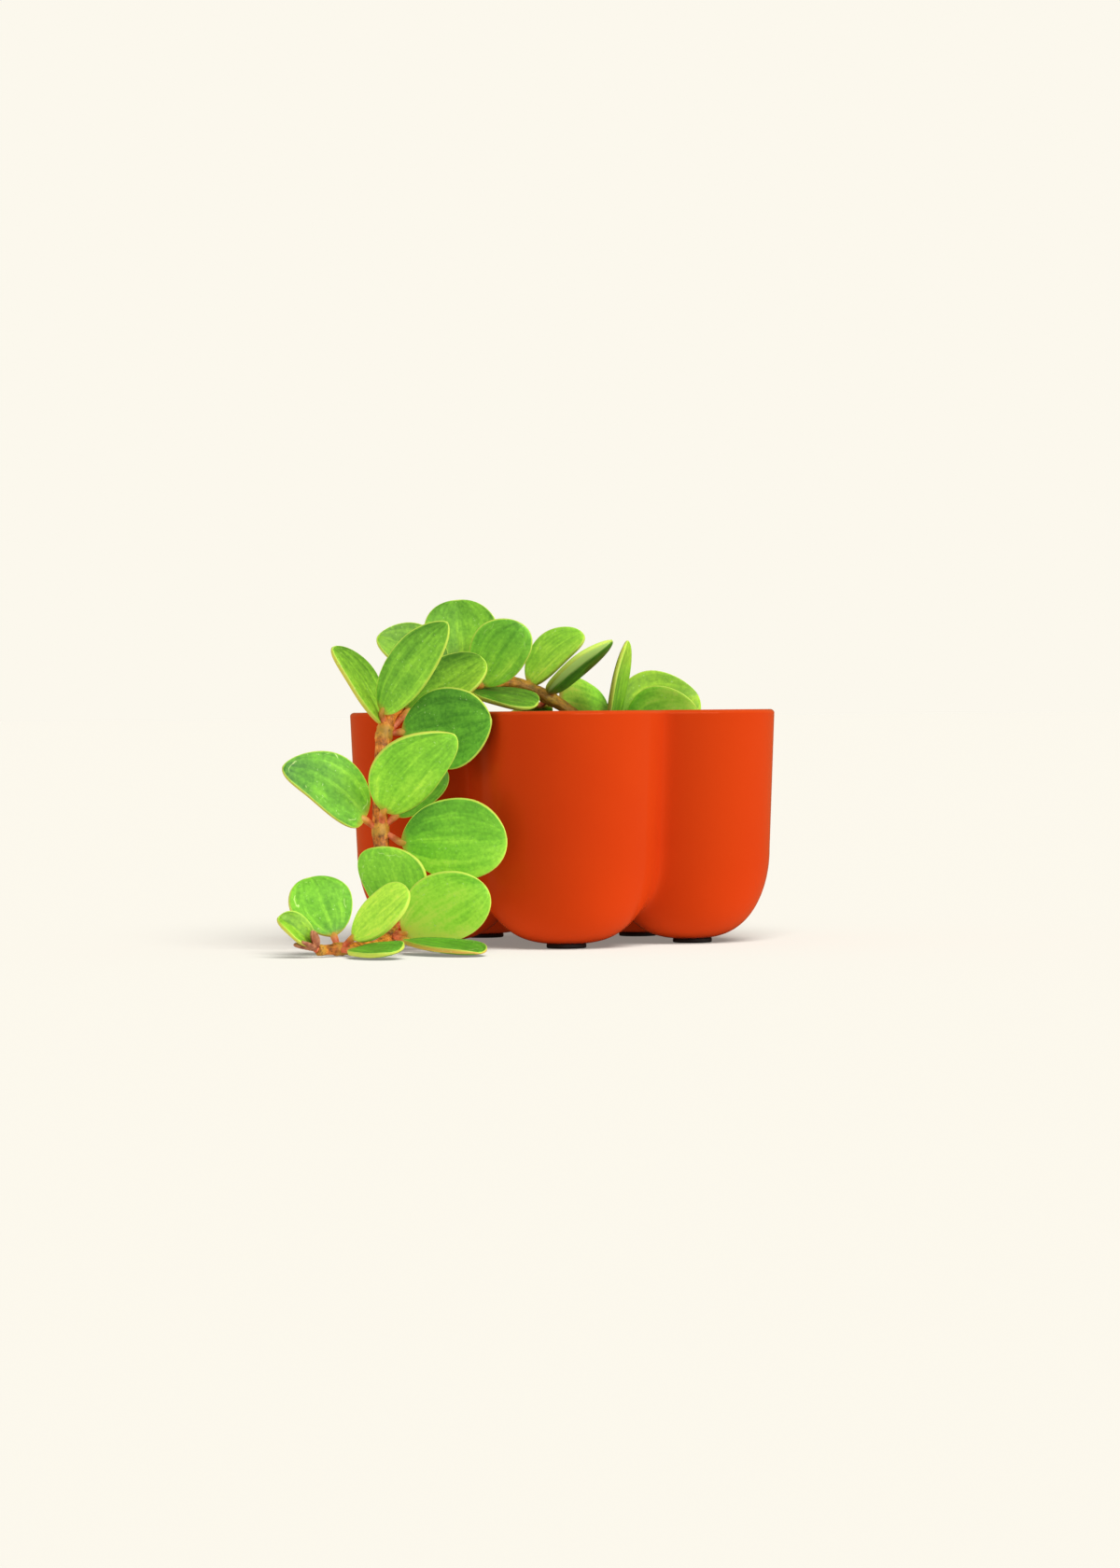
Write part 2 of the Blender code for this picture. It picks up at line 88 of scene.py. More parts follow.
# a light's name, where it comes from, its spread in degrees, its strength, and whether it falls on the
# floor alone or on all but the floor
SUNS = [
    ("key_light", (0.91, -0.42, 0.55), 40, 2.95, "EXCLUDE"),
    ("side_light", (-0.90, -0.25, 0.20), 50, 1.1, "EXCLUDE"),
    ("floor_light", (0.20, -0.70, 0.70), 40, 12.25, "INCLUDE"),
]
PANEL_PLACE = (1.5, -2.6, 1.35)
PANEL_AIMS_AT_HEIGHT = 0.1
PANEL_SIZE = (2.2, 2.4)
PANEL_POWER = 60.0


class Reading:
    """A number that varies over a surface; maths on it, written as for plain numbers, adds nodes."""

    def __init__(self, finish, socket):
        self.finish = finish
        self.socket = socket

    def maths(self, operation, *terms):
        return self.finish.node("ShaderNodeMath", {"operation": operation}, dict(enumerate(terms)))

    def __add__(self, other):
        return self.maths("ADD", self, other)

    def __mul__(self, other):
        return self.maths("MULTIPLY", self, other)

    def __sub__(self, other):
        return self.maths("SUBTRACT", self, other)

    def __rsub__(self, other):
        return self.maths("SUBTRACT", other, self)

    __radd__ = __add__
    __rmul__ = __mul__


class Finish:
    """A material, or the room's light, while its nodes are put together."""

    def __init__(self, owner):
        owner.use_nodes = True
        self.owner = owner
        self.tree = owner.node_tree

    def node(self, kind, settings, inputs, output=0):
        """Adds a node: first its settings, then its sockets' values or links.

        A ramp's stops are among its settings, from the lowest to the highest.
        """
        made = self.tree.nodes.new(kind)
        for name, value in settings.items():
            if name == "stops":
                for place, colour in value[1:-1]:
                    made.color_ramp.elements.new(place)
                for stop, (place, colour) in zip(made.color_ramp.elements, value):
                    stop.position = place
                    stop.color = (*colour, 1.0)
            else:
                setattr(made, name, value)
        self.fill(made, inputs)
        return Reading(self, made.outputs[output])

    def fill(self, node, inputs):
        for name, value in inputs.items():
            socket = node.inputs[name]
            if isinstance(value, Reading):
                self.tree.links.new(value.socket, socket)
            elif socket.type == "RGBA":
                socket.default_value = (*value, 1.0)
            else:
                socket.default_value = value

    def mix(self, share, first, second):
        """The first colour, and the second where share is 1."""
        settings = {"data_type": "RGBA", "clamp_factor": True}
        return self.node("ShaderNodeMix", settings, {0: share, 6: first, 7: second}, 2)

    def step(self, value, low, high):
        """0 where value is under low, 1 where it is over high, with a smooth rise between them."""
        inputs = {"Value": value, "From Min": low, "From Max": high}
        return self.node("ShaderNodeMapRange", {"interpolation_type": "SMOOTHSTEP"}, inputs)

    def noise(self, place, scale, detail=3.0, roughness=0.5):
        inputs = {"Vector": place, "Scale": scale, "Detail": detail, "Roughness": roughness}
        return self.node("ShaderNodeTexNoise", {}, inputs)

    def ramp(self, value, stops):
        """The colour of the stops that value lies between."""
        return self.node("ShaderNodeValToRGB", {"stops": stops}, {"Fac": value})

    def place(self):
        """Where a point of the piece lies, in metres."""
        return self.node("ShaderNodeTexCoord", {}, {}, "Object")

    def carried(self, name):
        """The three numbers that the mesh carries under a name at each of its points."""
        return self.node("ShaderNodeAttribute", {"attribute_name": name}, {}, "Vector")

    def parts(self, vector, axes):
        """One reading of the vector for each axis."""
        return (self.node("ShaderNodeSeparateXYZ", {}, {"Vector": vector}, axis) for axis in axes)

    def relief(self, height, strength, depth):
        """Bumps too fine for the mesh, with their depth in millimetres."""
        inputs = {"Height": height, "Strength": strength, "Distance": depth * MM}
        return self.node("ShaderNodeBump", {}, inputs)

    def shade(self, inputs):
        self.fill(self.tree.nodes["Principled BSDF"], inputs)
        return self.owner


def sheet(name, inner, outer):
    """A flat ring of floor round the pot, or a disc where it has no inner edge."""
    around = 2 * math.pi * np.arange(FLOOR_SIDES) / FLOOR_SIDES
    edges = [(np.cos(around) * reach, np.sin(around) * reach) for reach in (inner, outer) if reach]
    points = [(x + POT_AXIS[0], y + POT_AXIS[1], 0.0) for edge in edges for x, y in zip(*edge)]
    order = range(FLOOR_SIDES)
    beside = [(i + 1) % FLOOR_SIDES for i in order]
    quads = [(i, j, j + FLOOR_SIDES, i + FLOOR_SIDES) for i, j in zip(order, beside)]
    mesh = bpy.data.meshes.new(name)
    mesh.from_pydata(points, [], quads if inner else [tuple(order)])
    made = bpy.data.objects.new(name, mesh)
    bpy.context.scene.collection.objects.link(made)
    return made


floor = sheet("studio_floor", 0.0, NEAR_FLOOR)
far_floor = sheet("studio_floor_beyond", NEAR_FLOOR, FLOOR_REACH)
far_floor.visible_glossy = False
paper = Finish(bpy.data.materials.new("cream_paper"))
mirrored = paper.node("ShaderNodeLightPath", {}, {}, "Is Glossy Ray")
paper.shade(
    {
        "Base Color": paper.mix(mirrored, FLOOR_CREAM, FLOOR_IN_GLOSS),
        "Roughness": 1.0,
        "Specular IOR Level": 0.0,
        "Emission Color": paper.mix(mirrored, CREAM, FLOOR_IN_GLOSS),
        "Emission Strength": FLOOR_GLOW,
    }
)
for part_of_floor in (floor, far_floor):
    part_of_floor.data.materials.append(paper.owner)

bpy.context.scene.world = bpy.data.worlds.new("room")
room = Finish(bpy.context.scene.world)
seen = room.node("ShaderNodeLightPath", {}, {}, "Is Camera Ray")
mirrored = room.node("ShaderNodeLightPath", {}, {}, "Is Glossy Ray")
room_colour = room.mix(mirrored, room.mix(seen, ROOM_WHITE, CREAM), ROOM_COLOUR_IN_GLOSS)
room_light = seen * (1.0 - ROOM_LIGHT) + ROOM_LIGHT - mirrored * (ROOM_LIGHT - ROOM_LIGHT_IN_GLOSS)
room.fill(room.tree.nodes["Background"], {"Color": room_colour, "Strength": room_light})


def sun(name, comes_from, spread, strength):
    """A broad light from far away that doesn't show in gloss."""
    light = bpy.data.lights.new(name, "SUN")
    light.energy = strength
    light.angle = spread
    made = bpy.data.objects.new(name, light)
    x, y, z = comes_from
    made.rotation_euler = (math.atan2(math.hypot(x, y), z), 0.0, math.atan2(x, -y))
    made.visible_glossy = False
    bpy.context.scene.collection.objects.link(made)
    return made


def linked(name, things, state):
    """A collection that makes a light count these things alone, INCLUDE, or all but these, EXCLUDE."""
    group = bpy.data.collections.new(name)
    for number, thing in enumerate(things):
        group.objects.link(thing)
        group.collection_objects[number].light_linking.link_state = state
    return group


suns = {}
for name, comes_from, spread, strength, state in SUNS:
    suns[name] = sun(name, comes_from, math.radians(spread), strength)
    falls_on = linked(f"{name}_falls_on", (floor, far_floor), state)
    suns[name].light_linking.receiver_collection = falls_on

panel = bpy.data.lights.new("gleam_panel", "AREA")
panel.shape = "RECTANGLE"
panel.size, panel.size_y = PANEL_SIZE
panel.energy = PANEL_POWER
panel_object = bpy.data.objects.new("gleam_panel", panel)
panel_object.location = PANEL_PLACE
panel_object.rotation_euler = (
    math.pi / 2 - math.atan2(PANEL_PLACE[2] - PANEL_AIMS_AT_HEIGHT, math.hypot(*PANEL_PLACE[:2])),
    0.0,
    math.atan2(PANEL_PLACE[0], -PANEL_PLACE[1]),
)
panel_object.visible_diffuse = False
bpy.context.scene.collection.objects.link(panel_object)
bpy.context.scene.view_settings.view_transform = "Standard"

# Pot: one stoneware shell of five round lobes, cast in a mould, dipped in orange glaze and fired
# upright. The glaze lies thicker where two lobes meet. It is lighter along the rim, for thinner glaze
# there and as a painted highlight, and a little brighter over the round bottoms as painted bounce
# light from the floor.
LOBES = 5
POT_TURN = math.radians(1.2)
STEPS_PER_LOBE = 64
LOBE_CIRCLE = 37.1 * MM
LOBE_RADIUS = 22.5 * MM
LOBE_DEPTH = 24.9 * MM
LOBE_BASE = 1.1 * MM
LOBE_BROADER = 1.1
BOTTOM_FLATNESS = 2.85
BOTTOM_SOFTNESS = 1.9
SIDE_FLARE = 0.043
POT_TOP = 65.3 * MM
POT_WALL = 4.0 * MM
RIM_ROUND = 1.2 * MM
UNDERSIDE_RISE = 10.2 * MM
UNDERSIDE_BLEND = 1.0 * MM
OUTER_CREASE = 4.1
INNER_CREASE = 6.0
AZIMUTH = np.arange(LOBES * STEPS_PER_LOBE) * (2 * math.pi / (LOBES * STEPS_PER_LOBE)) - math.pi / 2
BOWL_RINGS_OUTSIDE = (14, 30)
BOWL_RINGS_INSIDE = (8, 16)
WALL_RINGS = 14
RIM_RINGS = 9
GLAZE = (0.542, 0.0430, 0.0046)
GLAZE_DEEP = (0.500, 0.0330, 0.0036)
GLAZE_PALER = (0.640, 0.0720, 0.0100)
RIM_THIN_GLAZE_AND_HIGHLIGHT_FROM_TOP = (1.3 * MM, 0.2 * MM)
GLAZE_PAINTED_BOUNCE = (0.640, 0.0500, 0.0052)
PAINTED_BOUNCE_HEIGHTS = (3.0 * MM, 28.0 * MM)
GLEAM_TINT = (1.0, 0.36, 0.16)


def lobe_turn(azimuth, crease):
    """Angle off the nearest lobe's axis: half a lobe's turn at a crease, less a softening by hypot."""
    half = 180.0 / LOBES
    off = np.mod(np.degrees(azimuth) + 90.0, 2.0 * half)
    off = np.minimum(off, 2.0 * half - off)
    return np.radians(half - np.hypot(half - off, crease))


def lobe_ring(azimuth, radius, crease):
    """Distance from the pot's axis to a lobe's far side: circle * cos + sqrt(radius^2 - across^2)."""
    turn = lobe_turn(azimuth, crease)
    across = LOBE_CIRCLE * np.sin(turn) / LOBE_BROADER
    return LOBE_CIRCLE * np.cos(turn) + np.sqrt(radius**2 - across**2)


def bowl(azimuth, radius, depth, base, crease, inside, outside):
    """Distances and heights of the lobes' round bottoms, from the pot's axis out to the upright wall.

    At a distance d from a lobe's axis the height is depth * (1 - (1 - (d / radius)^a)^(1 / b)), with a
    for its flatness and b for its softness. Towards the pot's axis it blends into the flat underside.
    """
    a, b = BOTTOM_FLATNESS, BOTTOM_SOFTNESS
    turn = lobe_turn(azimuth, crease)
    nearest = LOBE_CIRCLE * np.abs(np.sin(turn)) / LOBE_BROADER
    foot = LOBE_CIRCLE * np.cos(turn)

    def blended(height):
        return (height + UNDERSIDE_RISE - np.hypot(height - UNDERSIDE_RISE, UNDERSIDE_BLEND)) / 2

    share = np.linspace(0, 1, inside + 2)[1:-1, None]
    off = np.hypot(nearest, foot * (1 - share))
    near = depth * (1 - (1 - np.minimum(off / radius, 1) ** a) ** (1 / b))
    near = blended(np.where(off < radius, near, 2 * depth))
    start = np.arcsin((nearest / radius) ** (a / 2))
    share_out = np.linspace(0, 1, outside + 1)[:, None]
    swing = start + (math.pi / 2 - start) * share_out
    reach = radius * np.sin(swing) ** (2 / a)
    far = depth * (1 - np.maximum(np.cos(swing), 0) ** (2 / b))
    far = far - (far[0] - blended(far[0])) * (1 - share_out) ** 4
    distance = np.concatenate([foot * share, foot + np.sqrt(np.maximum(reach**2 - nearest**2, 0))])
    return distance, base + np.concatenate([near, far])


def side_radius(radius, height):
    """Lobe radius of a wall that flares above the round bottom."""
    return radius + (height - LOBE_BASE - LOBE_DEPTH) * SIDE_FLARE


def upright(azimuth, radii, heights, creases):
    """Distances and heights of rings round the lobes, one for each radius."""
    rings = [lobe_ring(azimuth, radius, crease) for radius, crease in zip(radii, creases)]
    return np.array(rings), np.broadcast_to(np.asarray(heights)[:, None], (len(radii), len(azimuth)))


def turned(azimuth, distance, height):
    """Points of a grid of distances and heights, carried round the pot's axis as the pot stands."""
    around = azimuth + POT_TURN
    return POT_AXIS + np.stack([distance * np.cos(around), distance * np.sin(around), height], -1)


def skin(rings, ends):
    """Points and faces of a grid of rings: each ring joins the next, and a point closes each end."""
    count, sides = rings.shape[:2]
    index = np.arange(count * sides).reshape(count, sides)
    beside = np.roll(index, -1, axis=1)
    quads = np.stack([index[:-1], beside[:-1], beside[1:], index[1:]], -1).reshape(-1, 4)
    first = np.full(sides, count * sides)
    caps = [
        np.stack([first, beside[0], index[0]], -1),
        np.stack([first + 1, index[-1], beside[-1]], -1),
    ]
    points = np.concatenate([rings.reshape(-1, 3), np.asarray(ends)])
    return points, quads.tolist() + np.concatenate(caps).tolist()


def piece(name, points, faces, finishes, nodes, readings=None, finish_of_face=None):
    """A closed mesh in its place that rides on the body and stands for solids of the frame."""
    mesh = bpy.data.meshes.new(name)
    mesh.from_pydata(points.tolist(), [], faces)
    shape = bmesh.new()
    shape.from_mesh(mesh)
    bmesh.ops.recalc_face_normals(shape, faces=shape.faces)
    shape.to_mesh(mesh)
    shape.free()
    mesh.shade_smooth()
    for reading, values in (readings or {}).items():
        mesh.attributes.new(reading, "FLOAT_VECTOR", "POINT").data.foreach_set("vector", values.ravel())
    for finish in finishes:
        mesh.materials.append(finish)
    if finish_of_face is not None:
        mesh.polygons.foreach_set("material_index", finish_of_face)
    made = bpy.data.objects.new(name, mesh)
    bpy.context.scene.collection.objects.link(made)
    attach(made, "root")
    if nodes:
        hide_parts(*nodes)
    return made


inner_radius = LOBE_RADIUS - POT_WALL
outer_top = side_radius(LOBE_RADIUS, POT_TOP)
inner_top = side_radius(inner_radius, POT_TOP)
wall_heights = np.linspace(LOBE_BASE + LOBE_DEPTH, POT_TOP - RIM_ROUND, WALL_RINGS)[1:]
rim_turn = np.radians(np.linspace(0, 90, RIM_RINGS)[1:])
rim_inset = RIM_ROUND * (1 - np.cos(rim_turn))
rim_height = POT_TOP - RIM_ROUND * (1 - np.sin(rim_turn))
crease_over_rim = (INNER_CREASE - OUTER_CREASE) / POT_WALL * rim_inset
every_wall_ring = np.ones(len(wall_heights))
outer_bowl = bowl(AZIMUTH, LOBE_RADIUS, LOBE_DEPTH, LOBE_BASE, OUTER_CREASE, *BOWL_RINGS_OUTSIDE)
outer_radii = side_radius(LOBE_RADIUS, wall_heights)
outer_wall = upright(AZIMUTH, outer_radii, wall_heights, OUTER_CREASE * every_wall_ring)
outer_rim = upright(AZIMUTH, outer_top - rim_inset, rim_height, OUTER_CREASE + crease_over_rim)
# the inside runs back down, so its rings are worked out upwards and then turned round
inner_rim = upright(AZIMUTH, inner_top + rim_inset, rim_height, INNER_CREASE - crease_over_rim)
inner_radii = side_radius(inner_radius, wall_heights)
inner_wall = upright(AZIMUTH, inner_radii, wall_heights, INNER_CREASE * every_wall_ring)
inner_base, inner_depth = LOBE_BASE + POT_WALL, LOBE_DEPTH - POT_WALL
inner_bowl = bowl(AZIMUTH, inner_radius, inner_depth, inner_base, INNER_CREASE, *BOWL_RINGS_INSIDE)
upwards = zip(outer_bowl, outer_wall, outer_rim)
downwards = zip(inner_rim, inner_wall, inner_bowl)
pot_grids = (
    np.concatenate([*up, *(rings[::-1] for rings in down)]) for up, down in zip(upwards, downwards)
)
pot_rings = turned(AZIMUTH, *pot_grids)
pot_ends = POT_AXIS + np.array(
    [(0, 0, LOBE_BASE + UNDERSIDE_RISE), (0, 0, inner_base + UNDERSIDE_RISE)]
)
pot_points, pot_faces = skin(pot_rings, pot_ends)
# how far each point is into a crease, 0 at a lobe's middle and 1 where two lobes meet
into_crease = np.degrees(lobe_turn(AZIMUTH, 0.0)) / (180.0 / LOBES)
into_crease = np.append(np.tile(into_crease, len(pot_rings)), [0, 0])
crease_reading = np.stack([into_crease] * 3, -1)

glaze = Finish(bpy.data.materials.new("orange_glaze"))
place = glaze.place()
(height,) = glaze.parts(place, "Z")
(crease,) = glaze.parts(glaze.carried("crease"), "X")
clouds = glaze.noise(place, 28.0, 2.0)
flecks = glaze.step(glaze.noise(place, 900.0, 2.0), 0.70, 0.80)
pooled = glaze.step(crease, 0.80, 1.0) * 0.7 + glaze.step(clouds, 0.35, 0.75) * 0.45
# lighter along the rim: thinner glaze there, and a painted highlight
rim_thin_glaze_and_highlight = glaze.step(height, *(POT_TOP - below for below in RIM_THIN_GLAZE_AND_HIGHLIGHT_FROM_TOP))
# painted bounce light: brighter over the round bottoms, as if lit from the floor below
painted_bounce = 1 - glaze.step(height, *PAINTED_BOUNCE_HEIGHTS)
colour = glaze.mix(pooled, GLAZE, GLAZE_DEEP)
colour = glaze.mix(painted_bounce * 0.9, colour, GLAZE_PAINTED_BOUNCE)
colour = glaze.mix(rim_thin_glaze_and_highlight * 0.55, colour, GLAZE_PALER)
colour = glaze.mix(flecks * 0.10, colour, GLAZE_PALER)
ripple = glaze.noise(place, 120.0, 2.0) + glaze.noise(place, 700.0, 2.0) * 0.12
pot_glaze = glaze.shade(
    {
        "Base Color": colour,
        "Roughness": glaze.noise(place, 60.0, 3.0) * 0.10 + 0.07,
        "Specular IOR Level": 0.25,
        "Specular Tint": GLEAM_TINT,
        "Normal": glaze.relief(ripple, 0.35, 0.08),
    }
)
piece("pot_shell", pot_points, pot_faces, [pot_glaze], ["pot"], {"crease": crease_reading})

# Feet: soft black rubber discs, punched from sheet and stuck under each lobe. The weight of the pot
# presses their upper face to the lobe's round bottom and bulges their side a little.
FOOT_CIRCLE = 37.8 * MM
FOOT_RADIUS = 5.4 * MM
FOOT_EDGE = 0.3 * MM
FOOT_BULGE = 0.12 * MM
FOOT_SIDES = 48
# rings from the underside to the face under the lobe: shares of the disc, of its rounded edge, of its
# bulge and of its height
FOOT_PROFILE = [
    (0.6, 0.0, 0.0, 0.0),
    (1.0, 0.0, 0.2, 0.0),
    (1.0, 0.75, 0.8, 0.1),
    (1.0, 1.0, 1.0, 0.5),
    (1.0, 0.75, 0.8, 0.9),
    (1.0, 0.0, 0.2, 1.0),
    (0.6, 0.0, 0.0, 1.0),
]
RUBBER_BLACK = (0.010, 0.010, 0.011)
RUBBER_DUST = (0.045, 0.043, 0.040)

rubber = Finish(bpy.data.materials.new("black_rubber"))
place = rubber.place()
grain = rubber.noise(place, 2200.0, 3.0)
dust = rubber.step(rubber.noise(place, 260.0, 4.0), 0.5, 0.8)
foot_rubber = rubber.shade(
    {
        "Base Color": rubber.mix(dust * 0.5, RUBBER_BLACK, RUBBER_DUST),
        "Roughness": grain * 0.25 + 0.55,
        "Normal": rubber.relief(grain, 0.5, 0.05),
    }
)
disc, edge, bulge, foot_rise = np.array(FOOT_PROFILE).T
foot_reach = disc * (FOOT_RADIUS - FOOT_EDGE) + FOOT_EDGE * edge + FOOT_BULGE * bulge
foot_turn = np.arange(FOOT_SIDES) * (2 * math.pi / FOOT_SIDES)
foot_circle = np.stack([np.cos(foot_turn), np.sin(foot_turn)], -1)
for i in range(LOBES):
    lobe = 2 * math.pi * i / LOBES - math.pi / 2 + POT_TURN
    outward = np.array([math.cos(lobe), math.sin(lobe)])
    flat = FOOT_CIRCLE * outward + foot_reach[:, None, None] * foot_circle
    # the pad's upper face takes the height of the lobe's round bottom over each of its points
    off = np.linalg.norm(flat - LOBE_CIRCLE * outward, axis=-1)
    over = 1 - (1 - (off / LOBE_RADIUS) ** BOTTOM_FLATNESS) ** (1 / BOTTOM_SOFTNESS)
    over = LOBE_BASE + LOBE_DEPTH * over
    foot_rings = POT_AXIS + np.concatenate([flat, (over * foot_rise[:, None])[..., None]], -1)
    foot_middle = np.append(FOOT_CIRCLE * outward, 0)
    foot_ends = POT_AXIS + foot_middle + np.array([(0, 0, 0), (0, 0, LOBE_BASE)])
    foot_points, foot_faces = skin(foot_rings, foot_ends)
    piece(f"foot_pad_{i + 1}", foot_points, foot_faces, [foot_rubber], [f"foot_{i + 1}"])

# Stem: the plant's one trailing shoot, woody, 3 to 4 mm thick and thinner at its tip, with a swollen
# ring of dry scales at each place where leaves grow. It is rooted in the soil, hangs over the rim and
# lies on the floor at its end.
STEM_ROUTE = [
    (20.5, 13.0, 38.0),
    (18.5, 10.0, 47.0),
    (13.5, 5.0, 55.5),
    (6.5, 1.5, 62.0),
    (-3.5, -3.0, 69.0),
    (-13.5, -6.5, 73.3),
    (-20.0, -9.5, 73.2),
    (-27.0, -14.0, 72.0),
    (-35.0, -24.5, 70.0),
    (-41.7, -33.4, 68.3),
    (-46.4, -39.3, 65.6),
    (-48.6, -42.1, 59.6),
    (-49.6, -44.5, 46.5),
    (-49.8, -46.5, 33.0),
    (-48.6, -49.5, 18.5),
    (-47.4, -53.5, 5.2),
    (-50.2, -60.0, 2.1),
    (-55.0, -67.0, 1.9),
    (-60.0, -74.5, 2.1),
    (-65.5, -79.0, 2.0),
]
STEM_NODES = {
    "in_the_pot": (13.5, 5.0, 55.5),
    "above_the_soil": (-3.5, -3.0, 69.0),
    "crossing": (-27.0, -14.0, 72.0),
    "over_the_rim": (-48.3, -41.8, 59.5),
    "hanging": (-49.8, -46.5, 33.0),
    "on_the_floor": (-47.4, -53.5, 5.2),
    "lying": (-60.0, -74.5, 2.1),
    "tip": (-65.5, -79.0, 2.0),
}
STEM_RADII = [(0.0, 1.6), (0.15, 1.6), (0.45, 2.0), (0.75, 2.1), (0.93, 1.7), (1.0, 1.1)]
STEM_SIDES = 40
STEM_STEPS = 22
NODE_SWELL = 0.35
NODE_REACH = 2.6
NODE_SCALES = 0.22
BARK_FURROWS = 0.035
BARK_RINGS = 0.03
# how much a millimetre along the stem counts in the bark's pattern, and where its old part ends there
BARK_STRETCH = 0.12
BARK_OLD_ENDS = (5.5, 8.5)
BARK_DARK = (0.130, 0.042, 0.008)
BARK_BROWN = (0.480, 0.145, 0.014)
BARK_ORANGE = (0.720, 0.225, 0.022)
BARK_LIGHT = (0.950, 0.400, 0.060)
BARK_AT_NODES = (0.620, 0.380, 0.040)
BARK_AT_FOOT = (0.420, 0.300, 0.022)
BARK_SCARS = (0.110, 0.040, 0.012)


def smooth_line(stops, steps):
    """A centripetal Catmull-Rom curve through the stops, with so many steps between two of them.

    Between two stops it is a cubic whose slopes there are the neighbours' differences, each divided by
    the square root of its length.
    """
    stops = np.asarray(stops, float)
    stops = np.vstack([2 * stops[0] - stops[1], stops, 2 * stops[-1] - stops[-2]])
    gaps = np.linalg.norm(np.diff(stops, axis=0), axis=1)[:, None] ** 0.5
    before, here, after = gaps[:-2], gaps[1:-1], gaps[2:]
    slopes = np.diff(stops, axis=0) / gaps
    start = here * (slopes[:-2] - (stops[2:-1] - stops[:-3]) / (before + here) + slopes[1:-1])
    end = here * (slopes[1:-1] - (stops[3:] - stops[1:-2]) / (here + after) + slopes[2:])
    t = (np.arange(steps) / steps)[None, :, None]
    first, last = stops[1:-2, None], stops[2:-1, None]
    start, end = start[:, None], end[:, None]
    cubic = (
        first * (2 * t**3 - 3 * t**2 + 1)
        + start * (t**3 - 2 * t**2 + t)
        + last * (3 * t**2 - 2 * t**3)
        + end * (t**3 - t**2)
    )
    return np.vstack([cubic.reshape(-1, 3), stops[-2]])


def across_line(line):
    """Two directions square to a line at each point, carried along it with next to no twist."""
    heading = np.gradient(line, axis=0)
    heading /= np.linalg.norm(heading, axis=1)[:, None]
    aside = np.cross(heading, (0.3, 0.2, 0.9))
    aside /= np.linalg.norm(aside, axis=1)[:, None]
    return aside, np.cross(heading, aside)


def tube(line, radii):
    """Rings round a line: radius * cos(turn) along one direction across it and radius * sin(turn) along
    the other, with a radius of its own for each point and side."""
    aside, above = across_line(line)
    around = 2 * math.pi * np.arange(radii.shape[1]) / radii.shape[1]
    flat = (radii * np.cos(around))[..., None] * aside[:, None]
    return line[:, None] + flat + (radii * np.sin(around))[..., None] * above[:, None]


def with_ends(values):
    """Readings for the two points that close a skin: the same as at its first and its last ring."""
    return np.concatenate([values, values[:1], values[-1:]])


stem_mm = smooth_line(STEM_ROUTE, STEM_STEPS)
stem_run = np.concatenate([[0], np.cumsum(np.linalg.norm(np.diff(stem_mm, axis=0), axis=1))])
stem_turn = 2 * math.pi * np.arange(STEM_SIDES) / STEM_SIDES
stem_radius = np.interp(stem_run / stem_run[-1], *zip(*STEM_RADII))[:, None] * np.ones(STEM_SIDES)
near_node = np.zeros(len(stem_run))
for number, node in enumerate(STEM_NODES.values()):
    node_run = stem_run[np.argmin(np.linalg.norm(stem_mm - node, axis=1))]
    off = (stem_run - node_run)[:, None]
    closeness = np.exp(-((off / NODE_REACH) ** 2))
    near_node = np.maximum(near_node, closeness[:, 0])
    # a ragged ring of scales just after the node, and a lower, even one before it
    ragged = 0.7 + 0.3 * np.sin(5 * stem_turn + 2.1 * number) + 0.2 * np.sin(11 * stem_turn + number)
    ridge = np.exp(-(((off - 1.3 * ragged) / 0.45) ** 2)) + 0.7 * np.exp(-(((off + 1.1) / 0.5) ** 2))
    stem_radius += NODE_SWELL * closeness + NODE_SCALES * ridge * ragged
run = stem_run[:, None]
furrows = np.sin(7 * stem_turn + 0.05 * run) + 0.6 * np.sin(11 * stem_turn - 0.09 * run)
rings_of_bark = np.sin(2.3 * run + 1.7 * np.sin(0.9 * run)) * np.sin(3 * stem_turn + 1.0)
stem_radius += BARK_FURROWS * furrows + BARK_RINGS * rings_of_bark
stem_rings = POT_AXIS + tube(stem_mm, stem_radius) * MM
stem_points, stem_faces = skin(stem_rings, [stem_rings[0].mean(0), stem_rings[-1].mean(0)])
turn_grid, run_grid = np.meshgrid(stem_turn, stem_run)
stem_reading = np.stack([np.cos(turn_grid), np.sin(turn_grid), run_grid * BARK_STRETCH], -1)
stem_readings = {
    "round_and_along": with_ends(stem_reading.reshape(-1, 3)),
    "near_node": with_ends(np.repeat(near_node, STEM_SIDES)[:, None] * np.ones(3)),
}

bark = Finish(bpy.data.materials.new("stem_bark"))
round_and_along = bark.carried("round_and_along")
(along,) = bark.parts(round_and_along, "Z")
(node_share,) = bark.parts(bark.carried("near_node"), "X")
place = bark.place()
streaks = bark.noise(round_and_along, 3.2, 4.0, 0.6)
patches = bark.noise(place, 420.0, 4.0, 0.6)
colour = bark.ramp(
    streaks * 0.5 + patches * 0.5 + (patches - 0.5) * 0.5,
    [(0.33, BARK_DARK), (0.46, BARK_BROWN), (0.57, BARK_ORANGE), (0.68, BARK_LIGHT)],
)
greenish = bark.step(node_share * 0.8 + patches * 0.5, 0.62, 0.95)
colour = bark.mix(greenish * 0.6, colour, BARK_AT_NODES)
older = 1 - bark.step(along, *BARK_OLD_ENDS)
colour = bark.mix(older * 0.60, colour, BARK_AT_FOOT)
scars = bark.step(bark.noise(place, 900.0, 3.0, 0.6), 0.56, 0.66)
colour = bark.mix(scars * 0.55, colour, BARK_SCARS)
